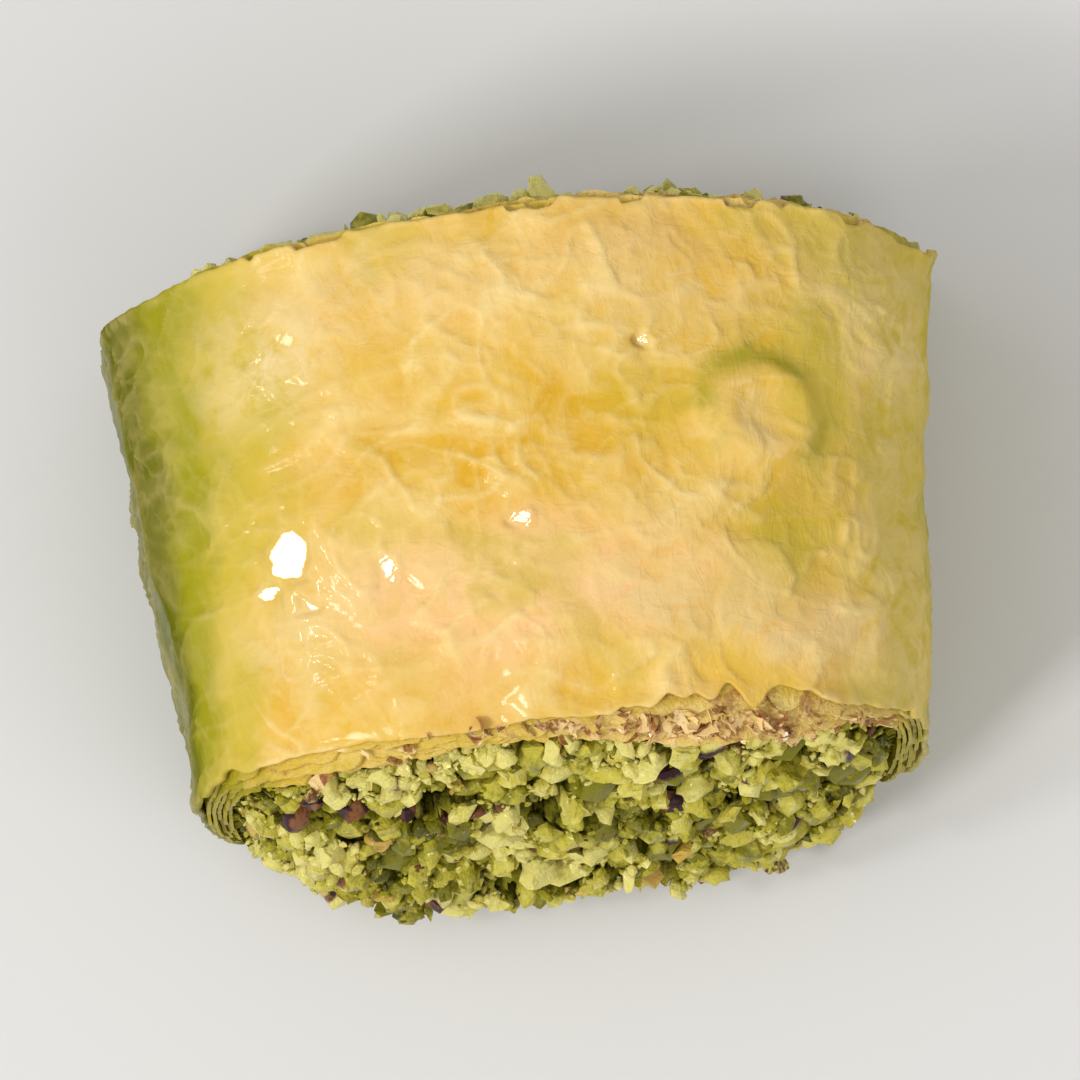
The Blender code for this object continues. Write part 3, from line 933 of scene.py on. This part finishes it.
def nut_places(end, count, dice):
    """Where the nut pieces stand on one end: (place, length), the largest first, spread evenly."""
    half_width = width_at(end) / 2
    places = []
    tries = 0
    while len(places) < count and tries < 200 * count:
        tries += 1
        length = blend(NUT_LONG, NUT_SHORT, (len(places) / count) ** 0.45)
        x, z = dice.uniform(-half_width, half_width), dice.uniform(0.0, HEIGHT)
        if inward_share(x, z, end) < (length / 2 + CLEARANCE) / (HEIGHT / 2 - FILLING_DEPTH):
            continue
        place = face_point(x, z, end)
        if all((p - place).length > NUT_SPACING * (length + other) / 2 for p, other in places):
            places.append((place, length))
    return places


def lump(place, length, end, dice):
    """A chipped piece of nut, its middle a little under the face of the filling."""
    inward = Vector((0, 1 - 2 * end, 0))
    mesh = bmesh.new()
    bmesh.ops.create_icosphere(mesh, subdivisions=1, radius=length / 2)
    stretch = Vector((1.0, dice.uniform(0.6, 0.85), dice.uniform(0.55, 0.8)))
    bmesh.ops.scale(mesh, vec=stretch, verts=mesh.verts)
    for vert in mesh.verts:
        vert.co *= dice.uniform(0.84, 1.12)
    turn = Euler([dice.uniform(0, 2 * math.pi) for _ in range(3)]).to_matrix()
    bmesh.ops.rotate(mesh, matrix=turn, verts=mesh.verts)
    bmesh.ops.translate(mesh, vec=place + inward * length * NUT_SINK, verts=mesh.verts)
    points = [vert.co.copy() for vert in mesh.verts]
    faces = [[vert.index for vert in face.verts] for face in mesh.faces]
    mesh.free()
    return points, faces


def among(place, spots):
    """Whether a piece in front is one of those at (x, z) of the spots."""
    return any(math.hypot(place.x / MM - x, place.z / MM - z) < 0.3 for x, z in spots)


def missing(place):
    """Whether a piece in front is one of those that have fallen out."""
    return fallen(place.x - CROWN_SHIFT * place.z / HEIGHT, place.z) > 0.4


def paler(place):
    """How much paler a crumb is than its own shade: at the top of the filling, as painted light, and in
    clumps.
    """
    top = smooth((place.z / HEIGHT - 0.62) / 0.25)
    return TOP_PAINTED_LIGHT * top + CLUMP_TONE * noise(place / CLUMP_SIZE + CLUMPS_AT)


def nut_pieces():
    """The largest pieces of nut, where the solid has them, and (place, reach) of what stays bare."""
    dice, own = random.Random(6), random.Random(11)
    points, faces, tones, skins, gold, bare = [], [], [], [], [], []
    for end, count in ((0, FRONT_NUTS), (1, BACK_NUTS)):
        for place, length in nut_places(end, count, dice):
            if not end and missing(place):
                continue
            skinned = not end and among(place, SKINNED)
            golden = not end and among(place, GOLDEN)
            reach = length / 2 if skinned or golden else BARE * length if length > BARE_FROM else 0.0
            bare.append((place, reach))
            corners, sides = lump(place, length, end, dice)
            faces += [[len(points) + corner for corner in side] for side in sides]
            points += [corner - ORIGIN for corner in corners]
            tones += [own.random() + paler(place)] * len(corners)
            side = Vector([own.uniform(-1, 1) for _ in range(3)]).normalized()
            if skinned or golden:
                side = SHOWN_SIDE
            where = 0 if not end and place.x < SKINS_LEFT_OF and place.z > SKINS_ABOVE else 1
            share = float(own.random() < SKIN_SHARES[where] or skinned)
            gold += [float(golden)] * len(corners)
            middle = sum(corners, Vector()) / len(corners)
            skins += [share * smooth(0.5 + (c - middle).dot(side) / length) for c in corners]
    nuts = mesh_object("pistachio_pieces", points, faces)
    for name, values in (("tone", tones), ("skin", skins), ("gold", gold)):
        mark(nuts, name, values)
    with editing(nuts):
        bpy.ops.mesh.subdivide(
            number_cuts=2, smoothness=0.1, fractal=0.45, fractal_along_normal=0.8, seed=4
        )
    smooth_shaded(nuts, 35)
    face_out(nuts)
    return nuts, bare


def chip_shapes(count, fine, breaks, dice):
    """Chips about 1 long, broken along some sides, as (points, faces)."""
    shapes = []
    for _ in range(count):
        bpy.ops.mesh.primitive_ico_sphere_add(subdivisions=fine, radius=0.5)
        chip = bpy.context.object
        with editing(chip):
            for _ in range(breaks):
                outward = Vector([dice.gauss(0, 1) for _ in range(3)]).normalized()
                near = outward * dice.uniform(0.2, 0.42)
                bpy.ops.mesh.bisect(plane_co=near, plane_no=outward, use_fill=True, clear_outer=True)
                bpy.ops.mesh.select_all(action="SELECT")
            bpy.ops.mesh.quads_convert_to_tris()
        points, faces = taken_apart(chip)
        own = Vector([dice.uniform(-9, 9) for _ in range(3)])
        points *= 1 + 0.7 * np.array([[noise(own + Vector(p) * 3)] for p in points])
        points *= [1.0, dice.uniform(0.55, 0.95), dice.uniform(0.45, 0.8)]
        shapes.append((points / (2 * np.abs(points).max()), faces))
    return shapes


def face_frame(x, z, end):
    """A point of the filling's face, and the way that the face looks there."""
    step = 0.35 * MM
    place = face_point(x, z, end)
    right = face_point(x + step, z, end) - face_point(x - step, z, end)
    up = face_point(x, z + step, end) - face_point(x, z - step, end)
    outward = right.cross(up).normalized()
    return place, outward if (outward.y > 0) == bool(end) else -outward


def strewn(end, count, kind, bare, dice):
    """Where crumbs lie on one end, the longest first: (place, outward, length).

    bare has (place, reach) of the large nuts that they leave in sight.
    """
    _, _, longest, shortest, spacing, _ = kind
    middles = np.array([place for place, _ in bare])
    reaches = np.array([reach for _, reach in bare])
    half_width = width_at(end) / 2
    found = []
    at = np.full((count, 3), 1.0)
    sizes = np.zeros(count)
    tries = 0
    while len(found) < count and tries < 60 * count:
        tries += 1
        length = blend(longest, shortest, (len(found) / count) ** 0.7)
        x, z = dice.uniform(-half_width, half_width), dice.uniform(0.0, HEIGHT)
        if inward_share(x, z, end) < 0.4 * length / (HEIGHT / 2 - FILLING_DEPTH):
            continue
        if pitted(x, z, end) > 0.3 or end and z > BACK_CRUMB_TOP:
            continue
        place, outward = face_frame(x, z, end)
        if dice.random() * abs(outward.y) > 0.45:
            continue
        if (np.linalg.norm(middles - np.array(place), axis=1) < reaches + 0.2 * length).any():
            continue
        gaps = np.linalg.norm(at[: len(found)] - np.array(place), axis=1)
        if (gaps < spacing * (sizes[: len(found)] + length) / 2).any():
            continue
        at[len(found)] = place
        sizes[len(found)] = length
        found.append((place, outward, length))
    return found


def scattered(name, kind, shapes, bare, dice):
    """One kind of crumb, all over both ends of the filling, darker where it lies deeper, as painted
    shade.
    """
    laid, tones, kinds = [], [], []
    for end in (0, 1):
        for place, outward, length in strewn(end, kind[end], kind, bare, dice):
            chip = dice.choice(shapes)
            turn = Quaternion([dice.gauss(0, 1) for _ in range(4)]).normalized().to_matrix()
            high = dice.random()
            laid.append((chip, turn, length, place - ORIGIN + outward * length * blend(*kind[-1], high)))
            # Crumbs lying deeper get darker tones: painted shade.
            tones += [blend(dice.random(), high, 0.5) + paler(place)] * len(chip[0])
            kinds += [dice.random()] * len(chip[0])
    crumbs = set_out(name, laid, 70)
    mark(crumbs, "tone", tones)
    mark(crumbs, "kind", kinds)
    return crumbs


# Broken scraps of leaf


def flake_shapes(count, dice):
    """Thin curled scraps about 1 long, with ragged edges, as (points, faces)."""
    shapes = []
    for _ in range(count):
        scrap = grid(4, 3, 1.0)
        curl, own = dice.uniform(0.3, 0.9), Vector([dice.uniform(-9, 9) for _ in range(3)])
        narrow = dice.uniform(0.35, 0.8)
        for vert in scrap.data.vertices:
            ragged = 1 + 0.5 * noise(own + 3 * vert.co)
            x, y = vert.co.x * ragged, narrow * vert.co.y * ragged
            vert.co = Vector((x, y, curl * x * x + 0.3 * y * noise(own + 2 * vert.co)))
        skin = scrap.modifiers.new("skin", "SOLIDIFY")
        skin.thickness = FLAKE_THICKNESS / FLAKE_LONG
        bpy.ops.object.modifier_apply(modifier=skin.name)
        shapes.append(taken_apart(scrap))
    return shapes


def flakes(dice):
    """Scraps of broken leaf on the front rim, most of them right of the crown."""
    shapes = flake_shapes(8, dice)
    laid = []
    for _ in range(FLAKES):
        right = dice.random() < FLAKE_SHARE
        turn = dice.gauss(FLAKE_TURN, FLAKE_SPREAD) if right else dice.uniform(*FLAKE_RANGE)
        depth = dice.uniform(0.1 * MM, FILO_THICKNESS)
        [(x, z)] = outline(0.0, depth, [turn])
        out = leaf_end(turn, 0, 2 * depth / FILO_THICKNESS) * dice.uniform(0.6, 1.0)
        length = blend(FLAKE_LONG, FLAKE_SHORT, dice.random() ** 0.6)
        over = 2 * math.pi * (0.5 - turn)
        tilt = Euler((dice.gauss(0.5, 0.5), dice.gauss(0, 0.5) + over, dice.uniform(0, 6.3))).to_matrix()
        laid.append((dice.choice(shapes), tilt, length, leaned(x, -LENGTH / 2 - out, z) - ORIGIN))
    return set_out("filo_flakes", laid, 40)


# Materials


class Value:
    """A socket of a material's nodes. Python's operators on it add Math nodes."""

    def __init__(self, look, socket):
        self.look = look
        self.socket = socket

    def maths(self, operation, *values):
        return self.look.node("ShaderNodeMath", {"operation": operation}, dict(enumerate(values)))

    def __add__(self, other):
        return self.maths("ADD", self, other)

    def __sub__(self, other):
        return self.maths("SUBTRACT", self, other)

    def __rsub__(self, other):
        return self.maths("SUBTRACT", other, self)

    def __mul__(self, other):
        return self.maths("MULTIPLY", self, other)

    def __abs__(self):
        return self.maths("ABSOLUTE", self)

    __radd__ = __add__
    __rmul__ = __mul__

    def held(self):
        """The value, kept between 0 and 1."""
        return self.look.node("ShaderNodeClamp", {}, {0: self})


class Look:
    """A material, built up from its Principled shader. whole is its colour so far."""

    def __init__(self, name, fixed):
        self.material = bpy.data.materials.new(name)
        self.material.use_nodes = True
        self.tree = self.material.node_tree
        self.surface = self.tree.nodes["Principled BSDF"]
        for socket, value in fixed.items():
            self.surface.inputs[socket].default_value = value
        self.at = self.node("ShaderNodeTexCoord", {}, {}, "Object")

    def node(self, kind, settings, sockets, output=0):
        """Adds a node with its settings, then its sockets' values or links."""
        made = self.tree.nodes.new(kind)
        for name, value in settings.items():
            setattr(made, name, value)
        for key, value in sockets.items():
            if isinstance(value, Value):
                self.tree.links.new(value.socket, made.inputs[key])
            else:
                made.inputs[key].default_value = value
        return Value(self, made.outputs[output])

    def feed(self, socket, value):
        self.tree.links.new(value.socket, self.surface.inputs[socket])

    def marked(self, name):
        """The number that each vertex keeps under that name."""
        return self.node("ShaderNodeAttribute", {"attribute_name": name}, {}, "Fac")

    def speckle(self, size, detail=2.0, rough=0.5, twist=0.0, stretch=None):
        """Soft noise of that size, from 0 to 1. stretch scales the place first."""
        at = self.at
        if stretch:
            at = self.node("ShaderNodeVectorMath", {"operation": "MULTIPLY"}, {0: self.at, 1: stretch})
        sockets = {"Vector": at, "Scale": 1 / size, "Detail": detail}
        sockets.update({"Roughness": rough, "Distortion": twist})
        return self.node("ShaderNodeTexNoise", {}, sockets, "Fac")

    def crease(self, size, stretch):
        """Fine crests where noise of that size crosses its middle: 1 on a crest."""
        return 1 - (abs(self.speckle(size, 1.0, 0.5, 1.2, stretch) - 0.5) * 5).held()

    def mix(self, a, b, share):
        """Colour a where share is 0, and b where it is 1."""
        return self.node("ShaderNodeMix", {"data_type": "RGBA"}, {0: share, 6: a, 7: b}, 2)

    def paint(self, paint, share):
        """Lays a colour over the whole, where share is 1."""
        self.whole = self.mix(self.whole, paint, share)

    def step(self, value, low, high):
        """0 below low, 1 above high, and an even curve between."""
        sockets = {"Value": value, "From Min": low, "From Max": high}
        return self.node("ShaderNodeMapRange", {"interpolation_type": "SMOOTHSTEP"}, sockets)

    def finished(self, roughness, height, distance):
        """The material, with its colour and roughness, and bumps of that height."""
        sockets = {"Height": height, "Distance": distance}
        self.feed("Base Color", self.whole)
        self.feed("Roughness", roughness)
        self.feed("Normal", self.node("ShaderNodeBump", {}, sockets, "Normal"))
        return self.material


def colour(red, green, blue):
    """A colour as light, opaque."""
    return (red, green, blue, 1.0)


def filo_look():
    """Baked leaf under syrup: gold and peach above, olive where the green shows through."""
    # Besides the leaf's own colours, this paints shade on the left flank, and highlights on crease crests
    # and near the cuts.
    look = Look("syrupy_filo", {
        "Coat Roughness": 0.07, "Coat IOR": 1.45, "Specular IOR Level": 0.0,
        "Subsurface Weight": 0.12, "Subsurface Radius": (1.0, 0.75, 0.3), "Subsurface Scale": 0.25 * MM,
    })
    gold, peach = colour(0.84, 0.53, 0.08), colour(1.0, 0.60, 0.28)
    honey, pale_gold, ivory = colour(0.78, 0.44, 0.03), colour(0.98, 0.74, 0.31), colour(0.92, 0.70, 0.33)
    straw, olive, deep = colour(0.64, 0.48, 0.05), colour(0.36, 0.33, 0.015), colour(0.13, 0.14, 0.006)
    wide = look.speckle(4.0 * MM, 3.0, 0.6, 0.6)
    mottle = look.speckle(1.5 * MM, 5.0, 0.65, 0.8)
    fine = look.speckle(0.3 * MM, 4.0, 0.7)
    grain = (fine - 0.5) * 0.6
    under = look.marked("green") + (wide - 0.5) * 0.35 + (mottle - 0.5) * 0.3
    clear = look.step(look.marked("soaked") + (mottle - 0.5) * 0.6 + grain * 0.3, 0.08, 0.92)
    stain = look.step(mottle + grain * 0.3, 0.47, 0.53)
    patch = look.step(wide + (mottle - 0.5) * 0.5 + grain * 0.2, 0.53, 0.58)
    pale = look.marked("puffed") * 0.25 + look.marked("bubble") * 0.3 + patch * 0.18
    # Crease crests are painted paler: a painted highlight along them.
    pale = (pale + look.marked("crease") * 0.5 + grain * 0.6).held()
    look.whole = look.mix(gold, peach, (look.marked("baked") + (mottle - 0.5) * 0.8).held())
    look.paint(honey, (look.marked("amber") * 0.9 + (wide - 0.5) * 0.9 + stain * 0.3).held())
    # Where the leaf is clear the green below shows, deepest low on the flanks; its greater depth on the
    # left flank is painted shade.
    greens = look.mix(straw, olive, look.step(under, 0.1, 0.5))
    look.paint(look.mix(greens, deep, look.step(under, 0.5, 0.95)), clear)
    look.paint(pale_gold, pale * (0.85 - clear * 0.6))
    look.paint(ivory, look.marked("cream") * look.step(mottle, 0.3, 0.6))
    look.paint(olive, look.marked("ring") * look.step(mottle, 0.3, 0.5) * 0.75)
    # Near the cuts the leaf is painted pale: dry leaf, and a painted highlight where the edge catches
    # light.
    look.paint(pale_gold, look.marked("tip") * look.step(mottle, 0.35, 0.6) * (0.6 - clear * 0.4))
    look.feed("Coat Weight", look.marked("wet"))
    across = look.crease(0.8 * MM, (0.5, 1.0, 0.5))
    along = look.crease(0.7 * MM, (1.0, 0.5, 1.0))
    return look.finished(0.3 + 0.3 * fine, across * 0.25 + along * 0.2 + mottle + fine * 0.4, 0.06 * MM)


def cut_filo_look():
    """The leaves' cut ends: golden olive where soaked, toasted where they have broken."""
    look = Look("cut_filo", {"Coat Weight": 0.3, "Coat Roughness": 0.12, "Specular IOR Level": 0.1})
    pale_gold, olive = colour(0.92, 0.68, 0.22), colour(0.46, 0.38, 0.02)
    toast, straw = colour(0.36, 0.13, 0.035), colour(0.74, 0.52, 0.07)
    wide = look.speckle(3.0 * MM, 2.0, 0.5, 0.4)
    mottle = look.speckle(0.8 * MM, 4.0, 0.6, 0.6)
    fine = look.speckle(0.2 * MM, 3.0, 0.6)
    dry = look.marked("dry") * 0.35
    clear = look.marked("green") * 0.5 + look.marked("soaked") * 0.15
    look.whole = look.mix(olive, straw, look.step(wide * 0.6 + mottle * 0.4 - clear, 0.2, 0.45))
    # The edge term paints the cut ends pale gold: dry leaf, and near the cut partly a painted highlight.
    edge = look.marked("tip") * 0.35 + dry + mottle * 0.7 + fine * 0.3 - clear * 0.4
    look.paint(pale_gold, look.step(edge, 0.75, 1.05) * 0.8)
    browned = wide * 0.5 + mottle * 0.5 + (fine - 0.5) * 0.3 + dry * 0.25
    look.paint(toast, look.step(browned, 0.57, 0.7) * 0.7)
    return look.finished(0.3 + 0.35 * fine, fine * 0.5 + mottle, 0.2 * MM)


def flake_look():
    """Drier scraps of leaf: cream and pinkish brown."""
    look = Look("filo_scraps", {"Coat Weight": 0.5, "Coat Roughness": 0.1, "Specular IOR Level": 0.1})
    pale_gold, toast, olive = colour(0.94, 0.68, 0.30), colour(0.34, 0.11, 0.04), colour(0.45, 0.38, 0.05)
    mottle = look.speckle(1.1 * MM, 4.0, 0.6, 0.6)
    fine = look.speckle(0.25 * MM, 2.0, 0.6)
    look.whole = look.mix(pale_gold, toast, look.step(mottle, 0.46, 0.56))
    look.paint(olive, look.step(fine * 0.5 + mottle * 0.5, 0.52, 0.6) * 0.6)
    return look.finished(0.3 + 0.3 * fine, fine, 0.06 * MM)


def paste_look():
    """The bound crumbs, each of its own shade, with painted shade near black in the gaps and pits between
    them.
    """
    look = Look("pistachio_paste", {"Specular IOR Level": 0.0})
    dark, olive = colour(0.012, 0.009, 0.002), colour(0.11, 0.10, 0.006)
    leaf_green, lime = colour(0.34, 0.31, 0.03), colour(0.62, 0.52, 0.09)
    grain = look.speckle(0.35 * MM, 4.0, 0.65)
    tone = look.marked("tone") + (grain - 0.5) * 0.8
    look.whole = look.mix(olive, leaf_green, look.step(tone, 0.15, 0.55))
    look.paint(lime, look.step(tone, 0.6, 0.95))
    # Painted shade: the pits and the gaps between crumbs are painted near black.
    look.paint(dark, look.step(look.marked("pit") + (grain - 0.5) * 1.5, 0.3, 1.15))
    return look.finished(0.35 + 0.35 * grain, grain, 0.3 * MM)


def nut_look(name, shades, skin):
    """Chopped pistachio, each crumb of its own shade between dark, middle and light."""
    look = Look(name, {
        "Coat Weight": 0.55, "Coat Roughness": 0.12, "Coat IOR": 1.4, "Specular IOR Level": 0.1,
    })
    dark, middle, light = shades
    umber, orange = colour(0.20, 0.07, 0.03), colour(0.72, 0.42, 0.08)
    purple, brown = colour(0.045, 0.010, 0.016), colour(0.27, 0.10, 0.03)
    grain = look.speckle(0.28 * MM, 4.0, 0.65)
    patch = look.speckle(0.8 * MM, 2.0, 0.5)
    tone = look.marked("tone") + (grain - 0.5) * 0.7 + (patch - 0.5) * 0.8
    look.whole = look.mix(dark, middle, look.step(tone, 0.15, 0.55))
    look.paint(light, look.step(tone, 0.55, 1.0))
    if skin:
        peel = look.step(look.marked("skin") + grain * 0.3, 0.5, 0.7)
        look.paint(look.mix(purple, brown, look.step(patch, 0.45, 0.6)), peel)
        look.paint(orange, look.marked("gold") * 0.8)
    else:
        kind = look.marked("kind")
        look.paint(orange, look.step(kind, 0.97, 0.98) * 0.7)
        look.whole = look.mix(umber, look.whole, look.step(kind + (grain - 0.5) * 0.1, 0.025, 0.05))
    return look.finished(0.3 + 0.4 * grain, grain, 0.2 * MM)


def dress(thing, material, node, slot):
    """Gives a finished piece its material, and its place in the model."""
    thing.data.materials.clear()
    thing.data.materials.append(material)
    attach(thing, "root")
    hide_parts(node)


# Stage, light and camera


def floor():
    bpy.ops.mesh.primitive_plane_add(size=6.0)
    ground = bpy.context.object
    ground.name = "floor"
    look = Look("pale_floor", {"Base Color": colour(0.80, 0.79, 0.77), "Roughness": 0.7})
    ground.data.materials.append(look.material)


def toward(azimuth, elevation):
    """The way from the roll to a light or the camera, from angles in degrees."""
    turn, tilt = math.radians(azimuth), math.radians(elevation)
    return Vector((math.sin(turn) * math.cos(tilt), -math.cos(turn) * math.cos(tilt), math.sin(tilt)))


def stood(name, data, way, distance):
    """A new light or camera, that far from the roll's middle."""
    thing = bpy.data.objects.new(name, data)
    thing.location = way * distance + Vector((0.0, 0.0, HEIGHT / 2))
    bpy.context.scene.collection.objects.link(thing)
    return thing


def softbox(name, azimuth, elevation, distance, size, radiance):
    """A square light that faces the roll."""
    light = bpy.data.lights.new(name, "AREA")
    light.shape = "SQUARE"
    light.size = size
    light.energy = radiance * math.pi * size * size
    way = toward(azimuth, elevation)
    stood(name, light, way, distance).rotation_euler = way.to_track_quat("Z", "Y").to_euler()


def lights():
    for light in LIGHTS:
        softbox(*light)
    world = bpy.data.worlds.new("studio")
    bpy.context.scene.world = world
    world.use_nodes = True
    sky = world.node_tree.nodes["Background"]
    sky.inputs["Color"].default_value = colour(1.0, 1.0, 1.0)
    sky.inputs["Strength"].default_value = SKY
    bpy.context.scene.view_settings.view_transform = "Standard"


def camera():
    """Nearly straight above, as the roll is shown, a little in front and turned."""
    lens = bpy.data.cameras.new("camera")
    lens.sensor_width = 36.0
    lens.lens = lens.sensor_width * EYE_DISTANCE / VIEW_WIDTH
    lens.clip_end = 10.0
    back = toward(*EYE)
    eye = stood("camera", lens, back, EYE_DISTANCE)
    up_turn = math.radians(EYE_TURN)
    up = Vector((-math.sin(up_turn), math.cos(up_turn), 0.0))
    right = up.cross(back).normalized()
    eye.rotation_mode = "QUATERNION"
    eye.rotation_quaternion = Matrix([right, back.cross(right), back]).transposed().to_quaternion()
    bpy.context.scene.camera = eye


def main():
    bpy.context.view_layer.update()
    seed_set(WARP_SEED)
    dice = random.Random(3)
    leaf = closed_leaf("filo_outer_leaf", outer_leaf_loops())
    face_out(leaf)
    smooth_shaded(leaf, 180)
    dress(leaf, filo_look(), *FILO)
    lower = lower_leaves()
    face_out(lower)
    smooth_shaded(lower, 60)
    dress(lower, cut_filo_look(), *FILO)
    dress(flakes(random.Random(8)), flake_look(), *FILO)

    dress(paste(), paste_look(), *FILLING)
    nuts, bare = nut_pieces()
    deep, moss, leaf_green = colour(0.11, 0.10, 0.004), colour(0.24, 0.22, 0.01), colour(0.52, 0.46, 0.03)
    lime, butter = colour(0.67, 0.58, 0.065), colour(0.91, 0.81, 0.24)
    bright, dull = (moss, lime, butter), (deep, leaf_green, butter)
    dress(nuts, nut_look("nut_pieces", bright, True), *FILLING)
    for name, look_name, kind, chips, shades in (
        ("pistachio_kernels", "bright_kernels", KERNELS, (12, 2, 3), bright),
        ("pistachio_crumbs", "olive_crumbs", CRUMBS, (14, 1, 2), dull),
        ("pistachio_meal", "pale_meal", MEAL, (8, 1, 1), dull),
    ):
        crumbs = scattered(name, kind, chip_shapes(*chips, dice), bare, dice)
        dress(crumbs, nut_look(look_name, shades, False), *FILLING)

    floor()
    lights()
    camera()


main()
